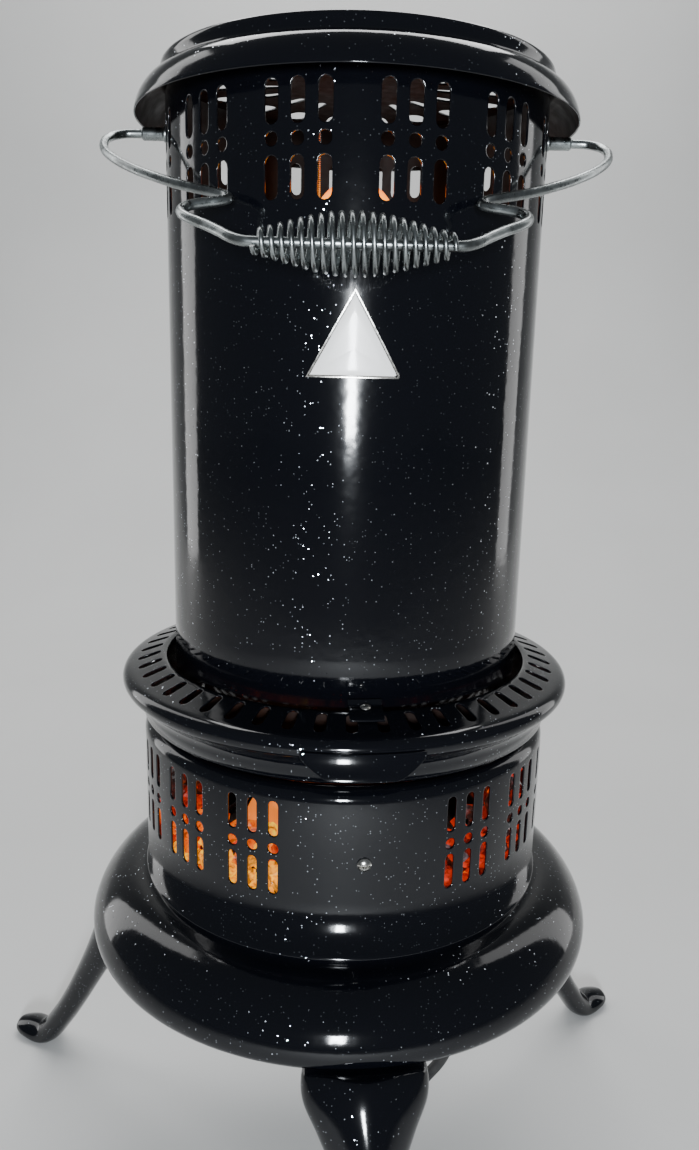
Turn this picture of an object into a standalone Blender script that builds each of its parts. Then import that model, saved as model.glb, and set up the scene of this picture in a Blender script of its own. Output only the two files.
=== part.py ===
"""Three-legged drum paraffin heater, fitted with two electric lamps. Metres, Z up, front towards -Y.

Heights are from a datum 35 mm above the floor. Radii are from the drum axis. Azimuths are degrees
from the front, growing towards +X. At the end the whole model is moved so that it stands on z = 0
with the bounding box of its feet centred.
"""
import math
import random

import bmesh
import bpy
from mathutils import Matrix, Vector

GAP = 0.0003
BASE_TURN = 5.8
FLOOR = -0.0350
SHIFT = Vector((0.0135, 0.0547, -FLOOR))

# upper drum
DRUM_R = 0.0990
DRUM_WALL = 0.0010
DRUM_BOTTOM = 0.3108
DRUM_TOP = 0.6333
DRUM_ROWS = [0.3108, 0.5585, 0.5815, 0.5903, 0.6120, 0.6333]
DRUM_PITCH = 7.15
SLOT_W = 0.0066
SLOT_H = 0.0185
DOT_D = 0.0062

# lower drum
LOW_R = 0.1175
LOW_GROUPS = [28, 50, 70, 92, 148, 170, 190, 212, 268, 290, 310, 332]
LOW_PITCH = 5.6
LOW_SLOT_W = 0.0055
LOW_SLOT_H = 0.0192
LOW_DOT_D = 0.0060

# louver ring
RING_SLOTS = 48
RING_SLOT_W = 0.0058
LIP_AZ = 4.4

# handle
BAIL_Z = 0.6060
BAIL_REST = 25.0
BAIL_WIRE_R = 0.0022
GRIP_WIRE_R = 0.00105
GRIP_HALF = 0.0395
GRIP_TURNS = 19
GRIP_MID_R = 0.0115
GRIP_END_R = 0.0042

# base
PAN_Z = 0.1600
PAN_T = 0.0014
TANK_R = 0.1080
TANK_BOTTOM = 0.1640
TANK_TOP = 0.1960
HINGE_R = 0.1272
HINGE_Z = 0.2942
LEG_AZ = [5.8, 125.8, 245.8]
LEG_BOLT_R = 0.1350
GROMMET = (0.0610, -0.1000)

# burner
KNOB_Z = 0.2245
PINION_R = 0.0050
RACK_OFFSET = 0.0066

# lamps
UPPER_PLATE_Z = 0.5000
LOW_LAMP_AZ = -35.0
LOW_LAMP_R = 0.0670

# lead
LEAD_R = 0.0030
COIL_MEAN_R = 0.0360
COIL_TURN_R = COIL_MEAN_R + 2 * LEAD_R
COIL_XY = (0.0100, 0.2560)


def clear_scene():
    for ob in list(bpy.data.objects):
        bpy.data.objects.remove(ob)


def material(name, colour, roughness, metallic):
    mat = bpy.data.materials.new(name)
    mat.use_nodes = True
    shader = mat.node_tree.nodes["Principled BSDF"]
    shader.inputs["Base Color"].default_value = (*colour, 1.0)
    shader.inputs["Roughness"].default_value = roughness
    shader.inputs["Metallic"].default_value = metallic
    return mat


def polar(r, az, z):
    a = math.radians(az)
    return Vector((r * math.sin(a), -r * math.cos(a), z))


def finish(name, bm, mat, sharp=35.0):
    """Turn a bmesh into a named object with its own copy of a material."""
    bmesh.ops.recalc_face_normals(bm, faces=bm.faces[:])
    limit = math.radians(sharp)
    for edge in bm.edges:
        edge.smooth = len(edge.link_faces) == 2 and edge.calc_face_angle(0.0) < limit
    for face in bm.faces:
        face.smooth = True
    mesh = bpy.data.meshes.new(name)
    bm.to_mesh(mesh)
    bm.free()
    ob = bpy.data.objects.new(name, mesh)
    bpy.context.collection.objects.link(ob)
    own = mat.copy()
    own.name = name + "_mat"
    mesh.materials.append(own)
    return ob


def spin_profile(profile, segments):
    """Revolve an (r, z) outline about Z; an outline ending on the axis closes there."""
    bm = bmesh.new()
    verts = [bm.verts.new((r, 0.0, z)) for r, z in profile]
    on_axis = profile[0][0] < 1e-7 and profile[-1][0] < 1e-7
    edges = [bm.edges.new((verts[i], verts[i + 1])) for i in range(len(verts) - 1)]
    if not on_axis:
        edges.append(bm.edges.new((verts[-1], verts[0])))
    bmesh.ops.spin(bm, geom=verts + edges, axis=(0, 0, 1), cent=(0, 0, 0),
                   steps=segments, angle=math.tau, use_merge=True)
    bmesh.ops.remove_doubles(bm, verts=bm.verts[:], dist=1e-6)
    return bm


def turned(name, profile, mat, segments=32, frame=None, sharp=35.0):
    bm = spin_profile(profile, segments)
    if frame is not None:
        bmesh.ops.transform(bm, matrix=frame, verts=bm.verts[:])
    return finish(name, bm, mat, sharp)


def outward_frame(r, az, z):
    """Local Z points radially outward, local X is tangential, local Y is up."""
    a = math.radians(az)
    out = Vector((math.sin(a), -math.cos(a), 0.0))
    up = Vector((0.0, 0.0, 1.0))
    side = up.cross(out)
    frame = Matrix((side, up, out)).transposed().to_4x4()
    return Matrix.Translation(polar(r, az, z)) @ frame


def upright_frame(r, az, z):
    return Matrix.Translation(polar(r, az, z)) @ Matrix.Rotation(math.radians(az), 4, "Z")


def offset_path(path, distance):
    """Move an open (r, z) path sideways; the sheet's far face lies on its right-hand side."""
    moved = []
    for i, (r, z) in enumerate(path):
        before = path[max(i - 1, 0)]
        after = path[min(i + 1, len(path) - 1)]
        d1 = Vector((r - before[0], z - before[1]))
        d2 = Vector((after[0] - r, after[1] - z))
        d1 = d1.normalized() if d1.length > 1e-9 else d2.normalized()
        d2 = d2.normalized() if d2.length > 1e-9 else d1
        mid = (d1 + d2).normalized()
        normal = Vector((mid.y, -mid.x))
        scale = distance / max(0.5, normal.dot(Vector((d1.y, -d1.x))))
        moved.append((r + normal.x * scale, z + normal.y * scale))
    return moved


def pointed_slot(width, height, corner):
    """Six-sided opening, counter-clockwise from its right side."""
    w = width / 2
    h = height / 2
    return [(w, -h + corner), (w, h - corner), (0.0, h), (-w, h - corner), (-w, -h + corner),
            (0.0, -h)]


def oblong(width, height):
    w = width / 2
    h = height / 2
    return [(w, -h), (w, h), (-w, h), (-w, -h)]


def hexagon(diameter):
    r = diameter / 2
    turns = (-30, 30, 90, 150, 210, 270)
    return [(r * math.cos(math.radians(t)), r * math.sin(math.radians(t))) for t in turns]


def corner_of(x, y):
    """Cell corner nearest an opening's point: 0 low right, 1 high right, 2 high left, 3 low left."""
    if abs(x) < 1e-9:
        return 1 if y > 0 else 3
    if y > 0:
        return 1 if x > 0 else 2
    return 0 if x > 0 else 3


def cell_faces(bm, corners, rim):
    """Fill a cell around its opening; rim is a list of (vertex, corner index)."""
    count = len(rim)
    for i in range(count):
        here, c0 = rim[i]
        after, c1 = rim[(i + 1) % count]
        if c0 == c1:
            bm.faces.new((here, after, corners[c0]))
        else:
            bm.faces.new((here, after, corners[c1], corners[c0]))


def shell(name, outer, inner, azimuths, opening, mat, sharp=35.0):
    """Closed sheet of revolution with openings.

    outer and inner are matching (r, z) paths. opening(column, row) gives None or
    (points in metres, centre fraction up the cell) for a hole through both faces.
    """
    bm = bmesh.new()
    cols = len(azimuths)
    grids = []
    for path in (outer, inner):
        grid = [[bm.verts.new(polar(r, az, z)) for az in azimuths] for r, z in path]
        grids.append(grid)
    for col in range(cols):
        nxt = (col + 1) % cols
        az0 = azimuths[col]
        az1 = azimuths[nxt] + (360.0 if nxt == 0 else 0.0)
        for row in range(len(outer) - 1):
            hole = opening(col, row)
            rims = []
            for side, path in ((0, outer), (1, inner)):
                grid = grids[side]
                corners = [grid[row][nxt], grid[row + 1][nxt], grid[row + 1][col], grid[row][col]]
                if hole is None:
                    bm.faces.new(corners)
                    continue
                rims.append(pierce(bm, corners, path, row, az0, az1, hole))
            if hole is not None:
                join_rims(bm, rims[0], rims[1])
        for row in (0, len(outer) - 1):
            bm.faces.new((grids[0][row][col], grids[0][row][nxt],
                          grids[1][row][nxt], grids[1][row][col]))
    return finish(name, bm, mat, sharp)


def pierce(bm, corners, path, row, az0, az1, hole):
    points, centre = hole
    (r0, z0), (r1, z1) = path[row], path[row + 1]
    length = math.hypot(r1 - r0, z1 - z0)
    rim = []
    for x, y in points:
        t = centre + y / length
        r = r0 + (r1 - r0) * t
        z = z0 + (z1 - z0) * t
        az = (az0 + az1) / 2 + math.degrees(x / r)
        rim.append((bm.verts.new(polar(r, az, z)), corner_of(x, y)))
    cell_faces(bm, corners, rim)
    return [v for v, _ in rim]


def join_rims(bm, first, second):
    count = len(first)
    for i in range(count):
        j = (i + 1) % count
        bm.faces.new((first[i], first[j], second[j], second[i]))


def loft(bm, rings, cap=True):
    """Skin a list of equal closed vertex rings and cap both ends."""
    count = len(rings[0])
    for a, b in zip(rings, rings[1:]):
        for i in range(count):
            j = (i + 1) % count
            bm.faces.new((a[i], a[j], b[j], b[i]))
    if cap:
        bm.faces.new(rings[0])
        bm.faces.new(rings[-1])


def swept(name, points, radii, mat, sides=8, sharp=50.0):
    """Round bar along a list of points with one radius per point."""
    bm = bmesh.new()
    rings = []
    pts = [Vector(p) for p in points]
    normal = None
    for i, p in enumerate(pts):
        ahead = pts[min(i + 1, len(pts) - 1)] - pts[max(i - 1, 0)]
        tangent = ahead.normalized()
        if normal is None:
            guess = Vector((0, 0, 1)) if abs(tangent.z) < 0.9 else Vector((1, 0, 0))
            normal = tangent.cross(guess).normalized()
        normal = (normal - tangent * normal.dot(tangent)).normalized()
        other = tangent.cross(normal)
        ring = []
        for k in range(sides):
            a = math.tau * k / sides
            ring.append(bm.verts.new(p + (normal * math.cos(a) + other * math.sin(a)) * radii[i]))
        rings.append(ring)
    loft(bm, rings)
    return finish(name, bm, mat, sharp)


def box_bm(size, frame):
    bm = bmesh.new()
    scale = Matrix.Diagonal((size[0], size[1], size[2], 1.0))
    bmesh.ops.create_cube(bm, size=1.0, matrix=frame @ scale)
    return bm


def extruded(name, outline, frame, thickness, mat):
    """Flat plate from an (x, y) outline in a frame, growing along the frame's Z."""
    bm = bmesh.new()
    rings = []
    for z in (0.0, thickness):
        rings.append([bm.verts.new(frame @ Vector((x, y, z))) for x, y in outline])
    loft(bm, rings)
    return finish(name, bm, mat)


def smooth_path(points, steps):
    """Catmull-Rom curve through the points."""
    pts = [Vector(p) for p in points]
    pts = [pts[0] * 2 - pts[1]] + pts + [pts[-1] * 2 - pts[-2]]
    out = []
    for i in range(1, len(pts) - 2):
        p0, p1, p2, p3 = pts[i - 1:i + 3]
        for k in range(steps):
            t = k / steps
            a = (p1 * 2) + (p2 - p0) * t
            b = (p0 * 2 - p1 * 5 + p2 * 4 - p3) * (t * t)
            c = (p1 * 3 - p0 - p2 * 3 + p3) * (t * t * t)
            out.append((a + b + c) * 0.5)
    out.append(pts[-2])
    return out


def boolean(target, tool, operation):
    tool.hide_render = True
    tool.display_type = "WIRE"
    mod = target.modifiers.new("cut", "BOOLEAN")
    mod.operation = operation
    mod.solver = "EXACT"
    mod.object = tool


def apply_tools(target, tools):
    """Bake the target's booleans and drop the tool objects."""
    deps = bpy.context.evaluated_depsgraph_get()
    baked = bpy.data.meshes.new_from_object(target.evaluated_get(deps))
    target.modifiers.clear()
    old = target.data
    name = old.name
    target.data = baked
    bpy.data.meshes.remove(old)
    baked.name = name
    for tool in tools:
        bpy.data.objects.remove(tool)


def combine(target, tools, operation):
    for tool in tools:
        boolean(target, tool, operation)
    bpy.context.view_layer.update()
    apply_tools(target, tools)


def pin_tool(name, radius, length, frame, mat, sides=12):
    """Cylinder centred on a frame's origin along the frame's Z."""
    half = length / 2
    outline = [(0.0, -half), (radius, -half), (radius, half), (0.0, half)]
    return turned(name, outline, mat, sides, frame)


def set_origin(ob, point):
    ob.data.transform(Matrix.Translation(-Vector(point)))
    ob.location = Vector(point)


# ---------------------------------------------------------------- materials

def make_materials():
    return {
        "enamel": material("enamel", (0.012, 0.013, 0.016), 0.14, 0.0),
        "black": material("black", (0.020, 0.020, 0.022), 0.45, 0.0),
        "steel": material("steel", (0.46, 0.45, 0.44), 0.34, 1.0),
        "white": material("white", (0.80, 0.78, 0.72), 0.40, 0.0),
        "brass": material("brass", (0.64, 0.45, 0.19), 0.32, 1.0),
        "wick": material("wick", (0.74, 0.68, 0.56), 0.95, 0.0),
        "amber": material("amber", (0.85, 0.28, 0.04), 0.12, 0.0),
        "glass": material("glass", (0.95, 0.80, 0.55), 0.10, 0.0),
        "rubber": material("rubber", (0.015, 0.015, 0.016), 0.60, 0.0),
    }


# ---------------------------------------------------------------- base

LEG_SECTIONS = [
    (0.1370, 0.1597, 0.0290, 0.0120), (0.1430, 0.1520, 0.0315, 0.0150),
    (0.1490, 0.1430, 0.0305, 0.0160), (0.1560, 0.1310, 0.0240, 0.0160),
    (0.1640, 0.1170, 0.0175, 0.0150), (0.1730, 0.1000, 0.0140, 0.0135),
    (0.1830, 0.0800, 0.0118, 0.0122), (0.1940, 0.0580, 0.0102, 0.0108),
    (0.2060, 0.0360, 0.0095, 0.0095), (0.2190, 0.0130, 0.0098, 0.0086),
    (0.2330, -0.0090, 0.0108, 0.0082), (0.2490, -0.0286, 0.0120, 0.0082),
    (0.2650, -0.0298, 0.0118, 0.0070), (0.2770, -0.0302, 0.0062, 0.0046),
]


def leg(name, az, mat):
    """Curved leg with a flat top under the pan and a flat-soled foot."""
    bm = bmesh.new()
    rings = []
    last = len(LEG_SECTIONS) - 1
    for i, (r, z, half_w, half_d) in enumerate(LEG_SECTIONS):
        r0, z0 = LEG_SECTIONS[max(i - 1, 0)][:2]
        r1, z1 = LEG_SECTIONS[min(i + 1, last)][:2]
        along = Vector((r1 - r0, z1 - z0)).normalized()
        normal = Vector((-along.y, along.x))
        if i == 0:
            normal = Vector((1.0, 0.0))
        ring = []
        for k in range(10):
            a = math.tau * k / 10
            side = half_w * math.sin(a)
            depth = half_d * math.cos(a)
            rr = r + normal.x * depth
            zz = min(max(z + normal.y * depth, FLOOR), PAN_Z - GAP)
            ring.append(bm.verts.new(upright_frame(0, az, 0) @ Vector((side, -rr, zz))))
        rings.append(ring)
    loft(bm, rings)
    ob = finish(name, bm, mat)
    hole = pin_tool("leg_hole", 0.0033, 0.030, upright_frame(LEG_BOLT_R, az, PAN_Z), mat)
    combine(ob, [hole], "DIFFERENCE")
    return ob


def leg_bolt(name, az, mat):
    """Bolt through the pan into the leg's head."""
    top = PAN_Z + PAN_T + GAP
    outline = [(0.0, top + 0.0035), (0.0052, top + 0.0035), (0.0052, top), (0.0029, top),
               (0.0029, top - 0.0140), (0.0, top - 0.0140)]
    frame = upright_frame(LEG_BOLT_R, az, 0)
    return turned(name, outline, mat, 6, frame)


def base_pan(mat):
    """Floor of the base, with the burner's air hole, three bolt holes and the lead's hole."""
    z0 = PAN_Z
    z1 = PAN_Z + PAN_T
    outline = [(0.0300, z0), (0.1475, z0), (0.1475, z0 + 0.0070), (0.1463, z0 + 0.0070),
               (0.1463, z1), (0.0300, z1)]
    ob = turned("base_pan", outline, mat, 30)
    tools = []
    for i, az in enumerate(LEG_AZ):
        frame = upright_frame(LEG_BOLT_R, az, z0)
        tools.append(pin_tool(f"pan_hole_{i}", 0.0033, 0.012, frame, mat))
    frame = Matrix.Translation((GROMMET[0], GROMMET[1], z0))
    tools.append(pin_tool("pan_hole_lead", 0.0060, 0.012, frame, mat))
    combine(ob, tools, "DIFFERENCE")
    return ob


def base_flange(mat):
    """Spreading base rim, with a collar inside the lower drum and a ledge for the glass tray."""
    outer = [(0.1070, 0.2055), (0.1144, 0.2055), (0.1144, 0.1953), (0.1215, 0.1950),
             (0.1310, 0.1925), (0.1400, 0.1868), (0.1468, 0.1785), (0.1502, 0.1700),
             (0.1508, 0.1645), (0.1495, 0.1603)]
    inner = offset_path(outer, 0.0012)
    azimuths = [360.0 * i / 32 for i in range(32)]
    return shell("base_flange", outer, inner, azimuths, lambda c, r: None, mat)


def lower_columns():
    """Azimuth edges of the lower drum, and the set of columns with openings."""
    edges = []
    vented = set()
    groups = LOW_GROUPS
    for i, centre in enumerate(groups):
        for k in (-1.5, -0.5, 0.5):
            vented.add(len(edges))
            edges.append(centre + k * LOW_PITCH)
        end = centre + 1.5 * LOW_PITCH
        nxt = groups[(i + 1) % len(groups)] + (360 if i == len(groups) - 1 else 0)
        start = nxt - 1.5 * LOW_PITCH
        parts = 3 if start - end > 20 else 1
        edges.extend(end + (start - end) * k / parts for k in range(parts))
    return [e + BASE_TURN for e in edges], vented


def lower_drum(mat):
    outer = [(LOW_R, 0.1957), (LOW_R, 0.2290), (LOW_R, 0.2515), (LOW_R, 0.2611),
             (LOW_R, 0.2836), (0.1155, 0.2890), (0.1100, 0.2903)]
    inner = offset_path(outer, -0.0010)
    azimuths, vented = lower_columns()
    slot = oblong(LOW_SLOT_W, LOW_SLOT_H)
    dot = hexagon(LOW_DOT_D)
    shapes = {1: (slot, 0.51), 2: (dot, 0.48), 3: (slot, 0.50)}

    def opening(col, row):
        return shapes.get(row) if col in vented else None

    return shell("lower_drum", outer, inner, azimuths, opening, mat)


def panel_screw(mat):
    """Round screw head at the lower drum's front, its shank ending short of the wall."""
    outline = [(0.0, 0.0022), (0.0018, 0.0019), (0.0032, 0.0008), (0.0036, 0.0),
               (0.0, 0.0)]
    return turned("panel_screw", outline, mat, 12, outward_frame(LOW_R + GAP, BASE_TURN, 0.2511))


def fuel_tank(mat):
    outline = [(0.0190, TANK_BOTTOM), (TANK_R - 0.004, TANK_BOTTOM), (TANK_R, TANK_BOTTOM + 0.004),
               (TANK_R, 0.1900), (TANK_R - 0.006, TANK_TOP), (0.0190, TANK_TOP)]
    ob = turned("fuel_tank", outline, mat, 26)
    frame = upright_frame(0.068, 150, 0)
    neck = turned("neck", [(0.0, 0.1920), (0.0125, 0.1920), (0.0125, 0.2065), (0.0, 0.2065)],
                  mat, 14, frame)
    combine(ob, [neck], "UNION")
    wall = 0.0012
    floor = TANK_BOTTOM + wall
    hollow = turned("hollow", [(0.0190 + wall, floor), (TANK_R - 0.0045, floor),
                               (TANK_R - wall, TANK_BOTTOM + 0.0045), (TANK_R - wall, 0.1895),
                               (TANK_R - 0.0065, TANK_TOP - wall),
                               (0.0190 + wall, TANK_TOP - wall)], mat, 26)
    bore = turned("bore", [(0.0, 0.1860), (0.0108, 0.1860), (0.0108, 0.2100), (0.0, 0.2100)],
                  mat, 14, frame)
    combine(ob, [hollow, bore], "DIFFERENCE")
    return ob


def filler_cap(mat):
    outline = [(0.0, 0.2150), (0.0150, 0.2150), (0.0160, 0.2138), (0.0160, 0.1985),
               (0.0130, 0.1985), (0.0130, 0.2070), (0.0, 0.2070)]
    frame = upright_frame(0.068, 150, 0)
    ob = turned("filler_cap", outline, mat, 14, frame)
    set_origin(ob, polar(0.068, 150, 0.2070))
    return ob


def fuel_gauge(steel, glass):
    """Float gauge on the tank, opposite the filler."""
    frame = upright_frame(0.068, 210, 0)
    base = TANK_TOP + GAP
    outline = [(0.0, base), (0.0130, base), (0.0130, 0.2040), (0.0118, 0.2050),
               (0.0100, 0.2050), (0.0100, 0.2010), (0.0, 0.2010)]
    turned("gauge_body", outline, steel, 14, frame)
    outline = [(0.0, 0.2013), (0.0097, 0.2013), (0.0097, 0.2055), (0.0060, 0.2075), (0.0, 0.2080)]
    turned("gauge_glass", outline, glass, 14, frame)


def burner(steel, brass, wick_mat):
    base = TANK_TOP + GAP
    outline = [(0.0250, base), (0.0460, base), (0.0460, 0.1985), (0.0440, 0.2010),
               (0.0440, 0.2600), (0.0465, 0.2625), (0.0458, 0.2632), (0.0428, 0.2610),
               (0.0428, 0.2000), (0.0250, 0.2000)]
    body = turned("burner_body", outline, brass, 18)
    hole = pin_tool("shaft_hole", 0.0024, 0.010, outward_frame(0.0434, BASE_TURN, KNOB_Z), brass)
    combine(body, [hole], "DIFFERENCE")

    turned("draft_tube", [(0.0175, 0.1620), (0.0187, 0.1620), (0.0187, 0.2740), (0.0175, 0.2740)],
           steel, 20)
    tube = turned("wick_tube", [(0.0236, base), (0.0246, base), (0.0246, 0.2720),
                                (0.0236, 0.2720)], steel, 20)
    frame = upright_frame(0, BASE_TURN, 0)
    slot = box_bm((0.0040, 0.0060, 0.0225), frame @ Matrix.Translation((RACK_OFFSET, -0.0231, 0.2213)))
    cutter = finish("tube_slot", slot, steel)
    combine(tube, [cutter], "DIFFERENCE")

    carrier = turned("wick_carrier", [(0.0190, 0.2125), (0.0232, 0.2125), (0.0232, 0.2170),
                                      (0.0190, 0.2170)], brass, 20)
    tab = box_bm((0.0024, 0.0070, 0.0036), frame @ Matrix.Translation((RACK_OFFSET, -0.0233, 0.2147)))
    rack = box_bm((0.0024, 0.0026, 0.0300), frame @ Matrix.Translation((RACK_OFFSET, -0.0263, 0.2256)))
    tools = [finish("carrier_tab", tab, brass), finish("carrier_rack", rack, brass)]
    combine(carrier, tools, "UNION")
    turned("wick", [(0.0192, 0.2173), (0.0230, 0.2173), (0.0230, 0.2745), (0.0192, 0.2745)],
           wick_mat, 20)

    outline = [(0.0, 0.2620), (0.0170, 0.2620), (0.0170, 0.2985), (0.0250, 0.2990),
               (0.0250, 0.3005), (0.0120, 0.3040), (0.0, 0.3045)]
    turned("flame_spreader", outline, steel, 20)

    pinion = PINION_R - GAP
    outline = [(0.0, 0.0252), (pinion, 0.0252), (pinion, 0.0275), (0.0020, 0.0275),
               (0.0020, 0.0640), (0.0, 0.0640)]
    shaft = turned("wick_shaft", outline, brass, 14, outward_frame(0, BASE_TURN, KNOB_Z))
    knob = wick_knob(brass)
    for ob in (shaft, knob):
        set_origin(ob, polar(0.0, BASE_TURN, KNOB_Z))


def wick_knob(mat):
    """Knob with a blind bore for the shaft's end."""
    outline = [(0.0, 0.0643), (0.0023, 0.0643), (0.0023, 0.0560), (0.0085, 0.0560),
               (0.0110, 0.0575), (0.0110, 0.0650), (0.0095, 0.0668), (0.0, 0.0668)]
    return turned("wick_knob", outline, mat, 12, outward_frame(0, BASE_TURN, KNOB_Z))


def glass_tray(mat):
    outline = [(0.0868, 0.2058), (0.1152, 0.2058), (0.1152, 0.2070), (0.0880, 0.2070),
               (0.0880, 0.2190), (0.0868, 0.2190)]
    return turned("glass_tray", outline, mat, 28)


def amber_bed(mat):
    """Ring of lumpy amber glass lying in the tray behind the lower openings."""
    rng = random.Random(7)
    bm = bmesh.new()
    rings = []
    count = 28
    for i in range(count):
        az = 360.0 * i / count
        top = 0.2520 + rng.uniform(-0.006, 0.010)
        mid = 0.2350 + rng.uniform(-0.004, 0.004)
        section = [(0.0900, 0.2073), (0.1105, 0.2073), (0.1120 + rng.uniform(-0.003, 0.002), mid),
                   (0.1060 + rng.uniform(-0.003, 0.003), top),
                   (0.0960 + rng.uniform(-0.003, 0.003), top - rng.uniform(0.002, 0.008)),
                   (0.0900 + rng.uniform(0.0, 0.002), mid - 0.004)]
        rings.append([bm.verts.new(polar(r, az, z)) for r, z in section])
    rings.append(rings[0])
    loft(bm, rings, cap=False)
    return finish("amber_bed", bm, mat, 5.0)


def lamp(prefix, frame, holder_mat, cap_mat, glass_mat, neck, bulb):
    """Lampholder, lamp cap and lamp glass standing at z = 0 of a frame."""
    outline = [(0.0, 0.0), (0.0150, 0.0), (0.0165, 0.0020), (0.0165, 0.0200), (0.0150, neck),
               (0.0133, neck), (0.0133, 0.0060), (0.0, 0.0060)]
    turned(prefix + "_holder", outline, holder_mat, 14, frame)
    outline = [(0.0, 0.0063), (0.0060, 0.0063), (0.0129, 0.0100), (0.0129, neck + 0.0010),
               (0.0, neck + 0.0010)]
    turned(prefix + "_cap", outline, cap_mat, 14, frame)
    turned(prefix + "_glass", [(r, z + neck + 0.0013) for r, z in bulb], glass_mat, 16, frame)


def lamps(mats):
    round_bulb = [(0.0, 0.0), (0.0125, 0.0), (0.0135, 0.0060), (0.0180, 0.0135), (0.0218, 0.0220),
                  (0.0225, 0.0310), (0.0200, 0.0410), (0.0135, 0.0490), (0.0060, 0.0525),
                  (0.0, 0.0530)]
    candle = [(0.0, 0.0), (0.0115, 0.0), (0.0150, 0.0080), (0.0160, 0.0160), (0.0145, 0.0260),
              (0.0095, 0.0360), (0.0040, 0.0430), (0.0, 0.0450)]
    plate_top = UPPER_PLATE_Z + 0.0015 + GAP
    black, brass, glass = mats["black"], mats["brass"], mats["glass"]
    lamp("upper_lamp", Matrix.Translation((0, 0, plate_top)), black, brass, glass, 0.0290,
         round_bulb)
    frame = upright_frame(LOW_LAMP_R, LOW_LAMP_AZ, TANK_TOP + GAP)
    lamp("lower_lamp", frame, black, brass, glass, 0.0230, candle)


def inner_leads(mat):
    """Wires inside the body: lead to lower lamp, lower lamp to block, block to upper lamp."""
    gx, gy = GROMMET
    az = math.degrees(math.atan2(gx, -gy))
    points = [(gx, gy, 0.1652), polar(0.1140, az - 1, 0.1760), polar(0.1114, az - 3, 0.1880),
              polar(0.1085, az - 9, 0.1988), polar(0.0930, az - 24, 0.2003),
              polar(0.0820, az - 37, 0.2008), polar(0.0780, az - 48, 0.2010),
              polar(0.0864, LOW_LAMP_AZ + 3, 0.2012)]
    path = smooth_path(points, 2)
    swept("inner_lead_low", path, [0.0018] * len(path), mat, 5)
    points = [polar(0.0790, LOW_LAMP_AZ - 14, 0.2020), polar(0.0770, -70, 0.2005),
              polar(0.0840, -105, 0.2000), polar(0.0840, -140, 0.2015),
              polar(0.0830, -165, 0.2200), polar(0.0900, -172, 0.2640),
              polar(0.0980, -173, 0.2730)]
    path = smooth_path(points, 3)
    swept("inner_lead_link", path, [0.0018] * len(path), mat, 5)
    points = [(0.0, 0.0, UPPER_PLATE_Z - 0.0004), (0.0, 0.0030, 0.4880), (0.0, 0.0300, 0.4720),
              (0.0, 0.0700, 0.4500), (-0.0040, 0.0900, 0.4000), (-0.0090, 0.0900, 0.3400),
              (-0.0110, 0.0880, 0.3120), (-0.0110, 0.0930, 0.2950), (-0.0108, 0.1010, 0.2868)]
    path = smooth_path(points, 2)
    swept("inner_lead_up", path, [0.0018] * len(path), mat, 5)


def terminal_block(mat):
    """Connector inside the rear of the lower drum, beside the hinge line."""
    frame = upright_frame(0, 186.3, 0)
    outline = [(-0.0120, -0.0060), (0.0120, -0.0060), (0.0120, 0.0060), (-0.0120, 0.0060)]
    place = frame @ Matrix.Translation((0.0, -0.1070, 0.2680))
    return extruded("terminal_block", outline, place, 0.0150, mat)


def lead_parts(rubber, brass):
    gx, gy = GROMMET
    frame = Matrix.Translation((gx, gy, 0))
    outline = [(0.0034, PAN_Z - 0.0200), (0.0046, PAN_Z - 0.0200), (0.0068, PAN_Z - 0.0040),
               (0.0085, PAN_Z - GAP), (0.0057, PAN_Z - GAP), (0.0057, PAN_Z + PAN_T + GAP),
               (0.0080, PAN_Z + PAN_T + GAP), (0.0080, PAN_Z + PAN_T + 0.0020),
               (0.0034, PAN_Z + PAN_T + 0.0020)]
    turned("strain_relief", outline, rubber, 12, frame)
    cord_tube("lead", lead_route(), rubber)
    cord_tube("lead_end", lead_end_route(), rubber)
    cx, cy = COIL_XY
    outline = [(COIL_MEAN_R - 0.0080, 0.0004), (COIL_MEAN_R + 0.0080, 0.0004),
               (COIL_MEAN_R + 0.0100, 0.0035), (COIL_MEAN_R + 0.0090, 0.0130),
               (COIL_MEAN_R - 0.0090, 0.0130), (COIL_MEAN_R - 0.0100, 0.0035)]
    turned("lead_coil", outline, rubber, 20, Matrix.Translation((cx, cy, FLOOR)))
    plug(rubber, brass)


def cord_tube(name, cord, rubber):
    """Plain round tube along the cord's points."""
    curve = bpy.data.curves.new(name, "CURVE")
    curve.dimensions = "3D"
    curve.bevel_depth = LEAD_R
    curve.bevel_resolution = 2
    curve.render_resolution_u = 0
    curve.use_fill_caps = True
    spline = curve.splines.new("POLY")
    spline.points.add(len(cord) - 1)
    for point, co in zip(spline.points, cord):
        point.co = (*co, 1.0)
    ob = bpy.data.objects.new(name, curve)
    bpy.context.collection.objects.link(ob)
    own = rubber.copy()
    own.name = name + "_mat"
    curve.materials.append(own)


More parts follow.
